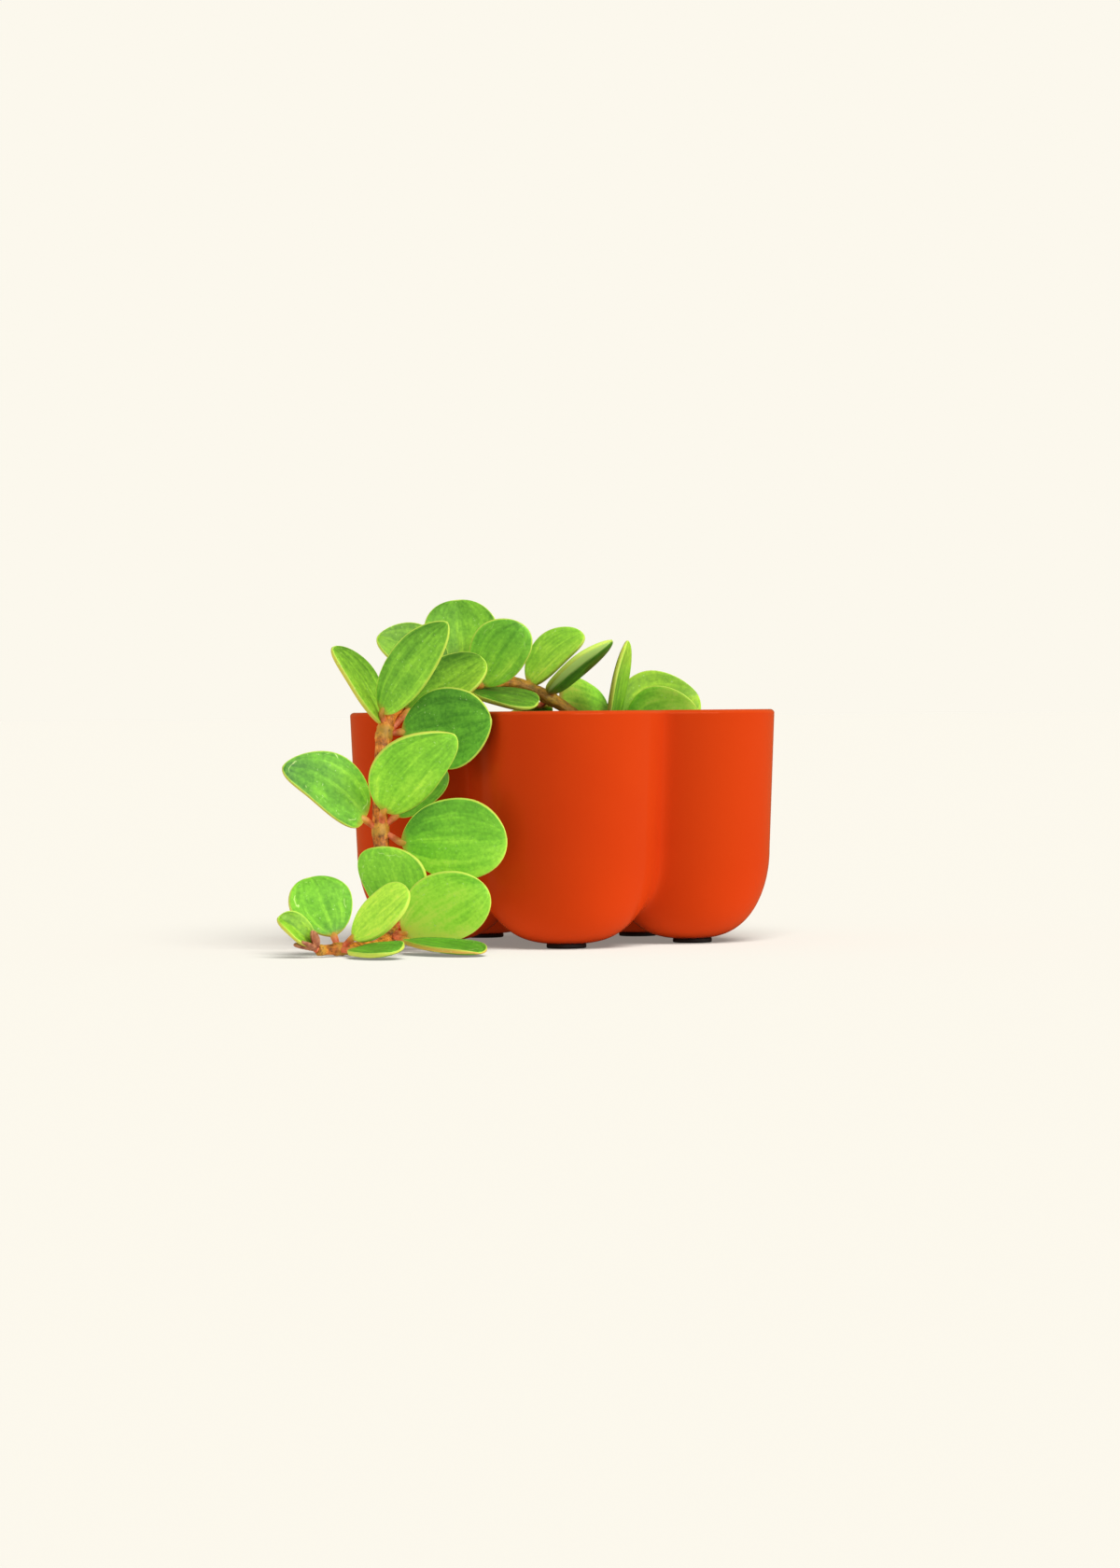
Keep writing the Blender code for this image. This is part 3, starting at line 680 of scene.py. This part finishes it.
stem_bark = bark.shade(
    {
        "Base Color": colour,
        "Roughness": patches * 0.25 + 0.38,
        "Subsurface Weight": 0.06,
        "Subsurface Radius": (1.0, 0.4, 0.2),
        "Subsurface Scale": 0.8 * MM,
        "Normal": bark.relief(streaks + patches * 0.5, 0.9, 0.25),
    }
)
piece("stem", stem_points, stem_faces, [stem_bark], ["trailing_vine"], stem_readings)

# Leaves: thick, juicy and nearly flat, four to a whorl on short stalks that grow out of the stem's
# swollen rings. Each has a pale margin, faint veins that fan out from its stalk and a waxy skin.
OUTLINES = {
    "round": (0.64, 0.50),
    "oval": (0.50, 0.44),
    "egg": (0.40, 0.57),
    "wedge": (0.76, 0.42),
    "lozenge": (0.72, 0.62),
    "ellipse": (0.55, 0.61),
}
# a leaf: where its blade starts and ends, the way its upper face looks, its width, how far its midrib
# bows to its right seen from above, its outline, and what sets it apart from the others
WHORLS = {
    "in_the_pot": [
        ((13.9, 3.8, 60.0), (18.7, -3.0, 85.0), (1.0, -0.3, 0.1), 17.0, -2.4, "egg",
         {"tone": 0.36, "towards_tip": 0.3, "towards_right": 0.12, "warm": 0.3, "yellow": 0.9}),
        ((17.6, 8.2, 58.9), (39.2, 10.0, 69.1), (0.01, -1.0, 0.29), 23.9, -1.8, "egg",
         {"tone": 0.65, "towards_tip": 0.09, "yellow": 0.9}),
        ((18.1, 3.6, 57.6), (38.8, -3.0, 64.7), (-0.01, -1.0, 0.24), 19.9, -1.3, "ellipse",
         {"tone": 0.94, "towards_tip": 0.22}),
        ((9.3, 10.4, 58.4), (1.0, 21.0, 64.0), (0.3, -0.4, 0.9), 18.0, 0.0, "round",
         {}),
    ],
    "above_the_soil": [
        ((-9.2, -3.3, 72.9), (6.2, -4.5, 87.3), (-0.78, -0.75, 0.04), 12.2, -2.6, "oval",
         {"tone": 0.88, "towards_tip": -0.07, "towards_right": 0.09, "yellow": 0.27}),
        ((-2.6, -4.2, 70.0), (14.2, -12.0, 85.0), (-0.68, 0.28, 0.75), 19.1, 0.3, "egg",
         {"tone": 0.2, "towards_tip": 0.05, "towards_right": 0.1,
          "warm": 0.1, "pale": 0.55, "under": 0.0}),
        ((-0.5, 1.1, 68.1), (13.4, 15.2, 64.6), (-0.02, -1.0, 0.35), 17.3, 0.5, "egg",
         {"tone": 0.89, "towards_tip": -0.3, "yellow": 0.19}),
        ((-5.9, 1.1, 67.0), (-14.5, 16.0, 59.5), (0.1, -0.3, 0.9), 17.0, 0.0, "round",
         {}),
    ],
    "crossing": [
        ((-33.0, -17.2, 74.0), (-51.0, -22.5, 86.6), (0.2, -0.85, 0.4), 16.3, 2.8, "egg",
         {"tone": 0.41, "towards_right": -0.16, "yellow": 0.9}),
        ((-27.8, -12.6, 76.0), (-29.0, -8.0, 96.8), (0.0, -1.0, 0.1), 21.0, 0.3, "round",
         {"tone": 0.62, "towards_tip": -0.22, "towards_right": 0.06, "yellow": 0.46}),
        ((-22.5, -14.9, 72.5), (-10.8, -19.0, 89.8), (0.1, -1.0, 0.1), 16.5, -1.3, "round",
         {"tone": 0.73, "towards_tip": -0.17, "towards_right": 0.08, "glints": 0.3}),
        ((-25.4, -15.3, 70.8), (-6.6, -20.0, 67.1), (0.1, -0.38, 0.93), 13.8, 0.2, "wedge",
         {"tone": 0.11, "towards_tip": 0.17, "warm": 0.2, "yellow": 0.64}),
    ],
    "over_the_rim": [
        ((-49.2, -41.8, 61.9), (-62.6, -45.0, 83.3), (0.88, -0.5, 0.33), 14.5, 3.2, "lozenge",
         {"tone": 0.43, "towards_tip": -0.2, "towards_right": -0.14, "warm": 0.6, "yellow": 0.9}),
        ((-49.2, -43.2, 65.2), (-30.6, -57.0, 89.5), (-0.24, -0.8, 0.06), 13.5, -1.3, "ellipse",
         {"tone": 0.57, "towards_tip": -0.12, "towards_right": 0.16, "warm": 0.2, "yellow": 0.36}),
        ((-42.5, -39.7, 65.2), (-21.1, -36.0, 79.6), (-0.1, -0.75, 0.6), 15.9, -0.6, "round",
         {"tone": 0.43, "towards_right": 0.3, "yellow": 0.86}),
        ((-43.8, -43.2, 59.9), (-19.0, -55.5, 63.3), (0.0, -1.0, 0.05), 22.4, 0.8, "lozenge",
         {"tone": 0.4, "towards_tip": 0.03, "towards_right": 0.08, "yellow": 0.02}),
    ],
    "hanging": [
        ((-48.8, -50.0, 38.3), (-29.1, -61.5, 59.3), (0.3, -1.0, -0.4), 19.4, -3.6, "ellipse",
         {"tone": 0.77, "towards_tip": -0.12, "towards_right": 0.04,
          "warm": 0.4, "glints": 0.25, "yellow": 0.13}),
        ((-45.6, -47.0, 37.0), (-32.0, -48.2, 50.1), (0.0, -1.0, -0.35), 11.6, -1.0, "round",
         {"tone": 0.5, "yellow": 0.18}),
        ((-53.9, -49.0, 36.1), (-75.7, -56.0, 51.2), (0.12, -0.65, 0.26), 16.4, 3.6, "egg",
         {"tone": 0.49, "towards_tip": -0.2, "towards_right": 0.11,
          "warm": 0.7, "glints": 0.8, "yellow": 0.25}),
        ((-44.0, -49.4, 29.8), (-15.0, -62.0, 30.9), (0.0, -1.0, -0.13), 22.9, -0.6, "round",
         {"tone": 0.72, "towards_tip": 0.11, "towards_right": 0.24, "yellow": 0.02}),
    ],
    "on_the_floor": [
        ((-46.4, -54.4, 7.7), (-49.5, -58.5, 29.0), (-0.48, -1.0, 0.07), 20.1, 3.4, "wedge",
         {"tone": 0.76, "towards_right": 0.04, "glints": 0.5, "yellow": 0.06}),
        ((-43.5, -56.4, 5.1), (-20.7, -67.0, 18.2), (0.15, -1.0, -0.14), 19.9, -1.0, "round",
         {"tone": 1.11, "towards_tip": -0.26, "towards_right": 0.1, "warm": 0.2, "glints": 0.2}),
        ((-42.5, -61.0, 3.6), (-22.5, -83.5, 1.1), (0.0, -0.06, 0.99), 16.5, 0.0, "round",
         {"tone": 0.31, "warm": 0.9, "glints": 0.7, "yellow": 0.1}),
        ((-44.3, -50.9, 8.3), (-34.5, -42.5, 18.5), (-0.3, -0.8, 0.5), 12.0, 0.0, "round",
         {"tone": 0.4}),
    ],
    "lying": [
        ((-61.5, -72.9, 5.4), (-68.5, -66.0, 21.0), (0.3, -0.85, 0.45), 18.0, 0.0, "round",
         {"tone": 0.53, "warm": 0.6, "glints": 0.8, "yellow": 0.25}),
        ((-56.5, -76.2, 5.0), (-41.0, -84.0, 18.0), (-0.3, -0.75, 0.55), 13.5, 0.0, "round",
         {"tone": 0.99, "warm": 0.2, "yellow": 0.3}),
        ((-56.1, -79.7, 2.1), (-44.0, -96.0, 2.2), (0.0, -0.35, 0.94), 13.0, 0.0, "round",
         {"tone": 0.36, "yellow": 0.1}),
    ],
    "tip": [
        ((-67.1, -79.5, 3.3), (-76.0, -82.5, 11.0), (0.3, -0.75, 0.6), 8.0, 0.0, "round",
         {"tone": 0.55, "fold": 0.5, "wave": 0.35, "yellow": 0.9, "warm": 0.5}),
    ],
}
BLADE_THICK = 2.0
BLADE_THINNEST = 1.0
BLADE_THICK_FOR_WIDTH = 0.3
BLADE_STATIONS = 30
BLADE_SIDES = 44
BLADE_BLUNTNESS = 0.35
OUTLINE_WAVES = 0.018
RIB_GROOVE_DEPTH = 0.16
RIB_GROOVE_WIDTH = 0.09
STALK_RADIUS = 0.9
STALK_STATIONS = 14
STALK_SIDES = 16
STALK_SAG = 0.25
STALK_FLATTENS = 0.7
STALK_SUNK_IN_BLADE = 0.10
LEAF_GREENS = [
    (0.00, (0.040, 0.190, 0.015)),
    (0.20, (0.090, 0.340, 0.024)),
    (0.40, (0.170, 0.540, 0.038)),
    (0.60, (0.280, 0.740, 0.052)),
    (0.80, (0.480, 0.950, 0.080)),
    (1.00, (0.700, 1.000, 0.130)),
]
YELLOWER = (1.6, 1.0, 0.9)
LEAF_BELOW = (0.380, 0.600, 0.080)
LEAF_PAINTED_LIT_SIDE = (0.640, 1.000, 0.250)
MARGIN_GREEN = (0.560, 0.800, 0.100)
MARGIN_RED = (0.800, 0.430, 0.090)
LEAF_AT_STALK = (0.620, 0.400, 0.050)
LEAF_SPECKS_AND_SPARKLE = (0.640, 0.880, 0.330)
LEAF_GLINTS = (0.740, 0.930, 0.330)
STALK_RED = (0.600, 0.115, 0.036)
STALK_PINK = (0.950, 0.260, 0.120)
STALK_AT_BLADE = (0.760, 0.480, 0.050)
LEAF_READINGS = ("on_blade", "of_leaf", "round_edge", "pale_side")
# how light a leaf is, and how much lighter towards its tip and to the right, which holds both its own
# shade of green and painted light and shade set leaf by leaf; how red its margin is, how yellow its
# green and how strong its glints; how far its painted lit side reaches over it, how pale it is
# underneath; and how much it is cupped, folded along its midrib and waved
COMMON_LEAF = {
    "tone": 0.5,
    "towards_tip": 0.0,
    "towards_right": 0.0,
    "warm": 0.3,
    "yellow": 0.0,
    "glints": 0.0,
    "pale": 0.0,
    "under": 0.20,
    "cup": 0.10,
    "fold": 0.0,
    "wave": 0.22,
}


def unit(vector):
    vector = np.asarray(vector, float)
    return vector / np.linalg.norm(vector)


def leaf_frame(leaf):
    """Where a leaf's blade starts and ends, and its two directions: across and up."""
    base, tip, face = (np.array(one) for one in leaf[:3])
    along = unit(tip - base)
    up = unit(face - along * (face @ along))
    return base, tip, np.cross(along, up), up


def blade(leaf, number):
    """A leaf's blade as a grid of rings across its midrib, and what its finish reads from it.

    Half its width at a share s of its length goes as s^p * (1 - s)^q, with p and q in OUTLINES. A ring
    is a flat oval, blunt at the margin, lifted by cup * x^2 where x runs from -1 to 1 across it.
    """
    width, bow, outline, own = leaf[3:]
    looks = {**COMMON_LEAF, **own}
    base, tip, across, up = leaf_frame(leaf)
    length = np.linalg.norm(tip - base)
    thick = min(BLADE_THICK, max(BLADE_THINNEST, BLADE_THICK_FOR_WIDTH * width))
    p, q = OUTLINES[outline]
    share = (1 - np.cos(math.pi * (np.arange(BLADE_STATIONS) + 0.5) / BLADE_STATIONS)) / 2
    greatest = (p / (p + q)) ** p * (q / (p + q)) ** q
    half = (share**p * (1 - share) ** q / greatest * width / 2)[:, None]
    swell = (thick / 2 * np.sqrt(1 - np.abs(2 * share - 1) ** 5))[:, None]
    share = share[:, None]
    turn = 2 * math.pi * np.arange(BLADE_SIDES) / BLADE_SIDES
    x, over = np.cos(turn), np.sin(turn)
    half = half * (1 + OUTLINE_WAVES * np.sin(9 * share + 2.0 * number + 2.0 * np.sign(x)))
    lift = swell * np.sign(over) * np.abs(over) ** BLADE_BLUNTNESS
    lift = lift + looks["cup"] * half * x**2 + looks["fold"] * half * np.abs(x) ** 1.3
    lift = lift + looks["wave"] * x**2 * np.sin(7 * share + 1.3 * number + 1.8 * x) * np.sqrt(share)
    groove = (over > 0) * np.exp(-((x / RIB_GROOVE_WIDTH) ** 2)) * np.sin(math.pi * share) ** 0.5
    lift = lift - RIB_GROOVE_DEPTH * groove
    rib = base + share[..., None] * (tip - base) + (bow * 4 * share * (1 - share))[..., None] * across
    rings = rib + (half * x)[..., None] * across + lift[..., None] * up
    from_margin = np.minimum(half * (1 - np.abs(x)), np.minimum(share, 1 - share) * length)
    # lightness of each point: the leaf's own green with painted light and shade, changing towards the
    # tip and across
    tone = looks["tone"] + looks["towards_tip"] * (2 * share - 1) + looks["towards_right"] * x
    # painted light: a lit band along one side of the blade, where light falls on its edge
    pale = np.clip((x - 1 + looks["pale"] * (0.35 + share)) / 0.12 + 0.5, 0, 1) * (looks["pale"] > 0)
    readings = (
        (x, share, from_margin),
        (tone, looks["warm"], number),
        (over, looks["yellow"], looks["glints"]),
        (pale, looks["under"], 0.0),
    )
    everywhere = np.ones_like(lift)
    readings = (np.stack([value * everywhere for value in values], -1) for values in readings)
    points, faces = skin(rings, [base, tip])
    return points, faces, [with_ends(values.reshape(-1, 3)) for values in readings]


def leaf_stalk(node, leaf):
    """A stalk from the stem's middle into the blade: thinnest halfway and flattened where it ends."""
    base, tip, across, up = leaf_frame(leaf)
    end = base + (tip - base) * STALK_SUNK_IN_BLADE
    middle = (np.array(node) + base) / 2 - up * STALK_SAG
    line = smooth_line([node, middle, base, end], 5)[:STALK_STATIONS]
    share = np.linspace(0, 1, len(line))
    radii = STALK_RADIUS * np.interp(share, (0, 0.35, 0.7, 1), (1.1, 0.9, 0.95, 0.65))
    radii = radii[:, None] * np.ones(STALK_SIDES)
    rings = tube(line, radii)
    wider = (rings - line[:, None]) @ across * (STALK_FLATTENS * share[:, None] ** 3)
    rings = rings + wider[..., None] * across
    points, faces = skin(rings, [line[0], line[-1]])
    on_stalk = with_ends(np.repeat(share, STALK_SIDES)[:, None] * np.ones(3))
    return points, faces, [on_stalk] + [np.zeros_like(on_stalk)] * 3


def together(skins):
    """Several closed skins as one list of points, one of faces and one array for each reading."""
    points, faces, readings = zip(*skins)
    starts = np.cumsum([0] + [len(own) for own in points[:-1]])
    faces = [[corner + start for corner in face] for start, own in zip(starts, faces) for face in own]
    readings = [np.concatenate(values) for values in zip(*readings)]
    return np.concatenate(points), faces, dict(zip(LEAF_READINGS, readings))


leaf = Finish(bpy.data.materials.new("leaf_skin"))
place = leaf.place()
across, along, from_margin = leaf.parts(leaf.carried("on_blade"), "XYZ")
tone, warm, number = leaf.parts(leaf.carried("of_leaf"), "XYZ")
over, yellow, glints = leaf.parts(leaf.carried("round_edge"), "XYZ")
pale, under = leaf.parts(leaf.carried("pale_side"), "XY")
mottle = leaf.noise(place, 190.0, 3.0, 0.55)
fine = leaf.noise(place, 1000.0, 3.0, 0.6)
wobble = leaf.noise(place, 260.0, 2.0)
fan = leaf.node("ShaderNodeCombineXYZ", {}, {"X": across * 5.0, "Y": along * 1.6, "Z": number * 3.7})
streaks = leaf.noise(fan, 1.0, 3.0, 0.6)
veins = across * 10.5 + (wobble - 0.5) * 1.6
veins = leaf.step(veins.maths("COSINE", veins), 0.45, 1.0) * leaf.step(along, 0.03, 0.15)
veins = veins * (1 - leaf.step(along, 0.45, 0.85)) * leaf.step(streaks, 0.36, 0.62)
uneven = (mottle - 0.5) * 0.46 + (streaks - 0.5) * 0.66 + (fine - 0.5) * 0.55
# the green from that lightness, which carries painted light and shade, with mottle, streaks and veins
colour = leaf.ramp((tone - 0.05 + uneven + veins * 0.15) * 0.8, LEAF_GREENS)
below = 1 - leaf.step(over, -0.45, 0.10)
colour = leaf.mix(below * under, colour, LEAF_BELOW)
yellower = leaf.node("ShaderNodeVectorMath", {"operation": "MULTIPLY"}, {0: colour, 1: YELLOWER})
colour = leaf.mix(yellow, colour, yellower)
# the painted lit band
colour = leaf.mix(pale * 0.95, colour, LEAF_PAINTED_LIT_SIDE)
edge = leaf.mix(warm * (1 - leaf.step(over, -0.1, 0.35)), MARGIN_GREEN, MARGIN_RED)
margin = 1 - leaf.step(from_margin + (wobble - 0.5) * 0.3, 0.18, 0.50)
colour = leaf.mix(margin * 0.85, colour, edge)
stalk_end = 1 - leaf.step(along + (wobble - 0.5) * 0.05, 0.005, 0.085)
colour = leaf.mix(stalk_end * 0.7, colour, LEAF_AT_STALK)
# pale specks of the waxy skin, and painted sparkle highlights
specks_and_sparkle = leaf.step(leaf.noise(place, 1400.0, 1.0), 0.69, 0.76) * leaf.step(mottle, 0.40, 0.55)
colour = leaf.mix(specks_and_sparkle * 0.5, colour, LEAF_SPECKS_AND_SPARKLE)
off_line = from_margin + (leaf.noise(place, 140.0, 3.0, 0.6) - 0.5) * 7.0 - 1.6
lines = 1 - leaf.step(off_line.maths("ABSOLUTE", off_line), 0.03, 0.20)
lines = lines * leaf.step(leaf.noise(place, 260.0, 3.0), 0.50, 0.60)
lines = lines * (1 - leaf.step(from_margin, 2.6, 3.4))
colour = leaf.mix(lines * glints * 0.8, colour, LEAF_GLINTS)
dents = leaf.noise(place, 380.0, 2.0)
leaf_skin = leaf.shade(
    {
        "Base Color": colour,
        "Roughness": mottle * 0.16 + 0.32,
        "Specular IOR Level": 0.28,
        "Subsurface Weight": 0.18,
        "Subsurface Radius": (0.6, 1.0, 0.2),
        "Subsurface Scale": 1.2 * MM,
        "Normal": leaf.relief(dents * 0.8 + fine * 0.12 + veins * 0.25, 0.5, 0.22),
    }
)

stalk = Finish(bpy.data.materials.new("leaf_stalk"))
(towards_blade,) = stalk.parts(stalk.carried("on_blade"), "X")
flush = stalk.noise(stalk.place(), 500.0, 3.0)
colour = stalk.mix(stalk.step(flush, 0.35, 0.65), STALK_RED, STALK_PINK)
colour = stalk.mix(stalk.step(towards_blade, 0.45, 1.0) * 0.8, colour, STALK_AT_BLADE)
stalk_skin = stalk.shade(
    {
        "Base Color": colour,
        "Roughness": flush * 0.2 + 0.30,
        "Subsurface Weight": 0.15,
        "Subsurface Radius": (1.0, 0.4, 0.2),
        "Subsurface Scale": 0.8 * MM,
        "Normal": stalk.relief(flush, 0.5, 0.1),
    }
)

leaf_number = 0
leaf_pieces = {}
for whorl, leaves in WHORLS.items():
    skins = []
    for row in leaves:
        leaf_number += 1
        skins.append(blade(row, leaf_number))
        skins.append(leaf_stalk(STEM_NODES[whorl], row))
    finish_of_face = np.concatenate([np.full(len(one[1]), i % 2) for i, one in enumerate(skins)])
    points, faces, readings = together(skins)
    leaf_pieces[whorl] = piece(
        f"leaves_{whorl}",
        POT_AXIS + points * MM,
        faces,
        [leaf_skin, stalk_skin],
        ["trailing_vine"],
        readings,
        finish_of_face,
    )
# the light from the left passes the lower hanging leaves, so that they leave no dark strip on the pot
hanging_low = [leaf_pieces[whorl] for whorl in ("hanging", "on_the_floor")]
suns["side_light"].light_linking.blocker_collection = linked("side_light_passes", hanging_low, "EXCLUDE")

# Bud: the shoot's growing point at the end of the stem, a few small pointed scales of pinkish brown that
# are folded round each other and open into the next leaves.
BUD_LOOKS = {"cup": 0.3, "wave": 0.0}
BUD_SCALES = [
    ((-66.0, -79.1, 2.1), (-72.0, -80.5, 3.6), (0.0, -0.3, 0.95), 2.8, 0.0, "lozenge", BUD_LOOKS),
    ((-65.8, -79.4, 2.2), (-69.5, -84.5, 4.6), (0.0, -0.3, 0.95), 2.6, 0.0, "lozenge", BUD_LOOKS),
    ((-65.6, -79.3, 2.4), (-67.0, -82.5, 7.5), (0.4, -0.8, 0.3), 2.6, 0.0, "lozenge", BUD_LOOKS),
]
FIRST_BUD_NUMBER = 40
BUD_BROWN = (0.300, 0.085, 0.045)
BUD_PINK = (0.520, 0.220, 0.110)

bud = Finish(bpy.data.materials.new("bud_scale"))
blush = bud.noise(bud.place(), 600.0, 3.0)
bud_skin = bud.shade(
    {
        "Base Color": bud.mix(bud.step(blush, 0.35, 0.65), BUD_BROWN, BUD_PINK),
        "Roughness": blush * 0.2 + 0.35,
        "Normal": bud.relief(blush, 0.5, 0.1),
    }
)
scales = [blade(row, number) for number, row in enumerate(BUD_SCALES, FIRST_BUD_NUMBER)]
points, faces, _ = together(scales)
piece("bud", POT_AXIS + points * MM, faces, [bud_skin], ["trailing_vine"])

# Soil: loose potting mix that fills the lobes to a little below the rim, heaped round the stem, with
# crumbs of bark and a few white grains of perlite lying on it.
SOIL_TOP = 51.5 * MM
SOIL_CLEAR = 1.2 * MM
SOIL_EDGE_DROP = 0.5 * MM
SOIL_BOWL_RINGS = (6, 10)
SOIL_SURFACE_RINGS = 60
SOIL_LUMPS = 0.5
# waves of the lumps: how fast they run across and away, and where they start, then finer ones by their
# size and height, in millimetres
BROAD_LUMPS = ((0.13, 0.05, 0.4), (-0.07, 0.14, 1.9), (0.19, -0.16, 3.1), (0.11, 0.21, 5.0))
FINE_LUMPS = ((4.2, 0.22), (2.3, 0.16), (1.2, 0.10))
EARTH_BROWNS = [
    (0.30, (0.010, 0.006, 0.004)),
    (0.50, (0.042, 0.024, 0.014)),
    (0.75, (0.110, 0.062, 0.034)),
]
CRUMBS = 900
CRUMB_SIZES = (0.35, 1.5)
GRAINS = 70
GRAIN_SIZES = (0.5, 1.1)
PERLITE_GREY = (0.38, 0.34, 0.28)
PERLITE_WHITE = (0.72, 0.70, 0.64)
chance = np.random.default_rng(11)


def lumps(x, y):
    """Height of the soil's lumps in millimetres: sums of waves that run different ways, ever finer."""
    total = sum(np.sin(a * x + b * y + start) for a, b, start in BROAD_LUMPS) * SOIL_LUMPS / 2
    for level, (size, height) in enumerate(FINE_LUMPS):
        for k in range(5):
            turn = 2.4 * k + 1.1 * level
            bend = 1.3 * np.sin((x * math.sin(turn) - y * math.cos(turn)) / (size * 1.9) + k)
            run = (x * math.cos(turn) + y * math.sin(turn)) / size
            total = total + height * np.sin(run + bend + 2 * k)
    return total


soil_radius = inner_radius - SOIL_CLEAR
soil_base = LOBE_BASE + POT_WALL + SOIL_CLEAR
soil_depth = LOBE_DEPTH - POT_WALL - SOIL_CLEAR
soil_bowl = bowl(AZIMUTH, soil_radius, soil_depth, soil_base, INNER_CREASE, *SOIL_BOWL_RINGS)
soil_edge = lobe_ring(AZIMUTH, side_radius(soil_radius, SOIL_TOP), INNER_CREASE)
soil_bottom = turned(AZIMUTH, *soil_bowl)
inward = np.linspace(1, 0, SOIL_SURFACE_RINGS)[:-1, None]
soil_surface = turned(AZIMUTH, soil_edge * inward, np.full((len(inward), len(AZIMUTH)), SOIL_TOP))
flat_mm = (soil_surface - POT_AXIS)[..., :2] / MM
soil_surface[..., 2] += lumps(flat_mm[..., 0], flat_mm[..., 1]) * MM * np.minimum(1, (1 - inward) * 12)
# the outermost ring, at the pot's wall, lies a little lower
soil_surface[..., 2] -= SOIL_EDGE_DROP * (inward > 0.99)
soil_middle = SOIL_TOP + lumps(0.0, 0.0) * MM
soil_rings = np.concatenate([soil_bottom, soil_surface])
soil_ends = POT_AXIS + np.array([(0, 0, soil_base + UNDERSIDE_RISE), (0, 0, soil_middle)])
soil_points, soil_faces = skin(soil_rings, soil_ends)

earth = Finish(bpy.data.materials.new("potting_mix"))
place = earth.place()
clods = earth.noise(place, 300.0, 6.0, 0.65)
fibres = earth.noise(place, 1300.0, 4.0, 0.6)
potting_mix = earth.shade(
    {
        "Base Color": earth.ramp(clods * 0.6 + fibres * 0.4, EARTH_BROWNS),
        "Roughness": fibres * 0.2 + 0.75,
        "Specular IOR Level": 0.25,
        "Normal": earth.relief(clods + fibres * 0.5, 0.9, 0.6),
    }
)
piece("soil_filling", soil_points, soil_faces, [potting_mix], ["soil"])


def scattered(count, sizes):
    """Small rough stones on the soil: balls of 20 faces, each corner pulled in or out by chance.

    They lie at a golden-angle spiral's places, spread evenly over each lobe's width.
    """
    golden = (1 + math.sqrt(5)) / 2
    ball = bmesh.new()
    bmesh.ops.create_icosphere(ball, subdivisions=1, radius=1.0)
    corners = np.array([corner.co for corner in ball.verts])
    triangles = np.array([[corner.index for corner in face.verts] for face in ball.faces])
    ball.free()
    order = np.arange(count) + 0.5
    azimuth = np.mod(order * 2 * math.pi / golden**2, 2 * math.pi) - math.pi / 2
    reach = lobe_ring(azimuth, side_radius(soil_radius, SOIL_TOP) - 1.2 * MM, INNER_CREASE)
    reach = reach * np.sqrt(chance.uniform(0.0, 1.0, count))
    x, y = reach * np.cos(azimuth + POT_TURN), reach * np.sin(azimuth + POT_TURN)
    size = sizes[0] + (sizes[1] - sizes[0]) * chance.uniform(0, 1, count) ** 2.5
    rough = chance.uniform(0.65, 1.25, (count, len(corners), 1))
    squash = chance.uniform(0.55, 1.0, (count, 1, 3))
    turn = chance.uniform(0, 2 * math.pi, count)[:, None]
    shape = corners * rough * squash * size[:, None, None]
    spun = np.stack(
        [
            shape[..., 0] * np.cos(turn) - shape[..., 1] * np.sin(turn),
            shape[..., 0] * np.sin(turn) + shape[..., 1] * np.cos(turn),
            shape[..., 2],
        ],
        -1,
    )
    ground = SOIL_TOP + (lumps(x / MM, y / MM) + size * 0.25) * MM
    points = POT_AXIS + np.stack([x, y, ground], -1)[:, None] + spun * MM
    faces = triangles + (np.arange(count) * len(corners))[:, None, None]
    return points.reshape(-1, 3), faces.reshape(-1, 3).tolist()


points, faces = scattered(CRUMBS, CRUMB_SIZES)
piece("soil_crumbs", points, faces, [potting_mix], [])

perlite = Finish(bpy.data.materials.new("perlite"))
pores = perlite.noise(perlite.place(), 1800.0, 4.0)
perlite_grain = perlite.shade(
    {
        "Base Color": perlite.mix(perlite.step(pores, 0.35, 0.6), PERLITE_GREY, PERLITE_WHITE),
        "Roughness": pores * 0.1 + 0.85,
        "Normal": perlite.relief(pores, 0.8, 0.15),
    }
)
points, faces = scattered(GRAINS, GRAIN_SIZES)
piece("perlite_grains", points, faces, [perlite_grain], [])
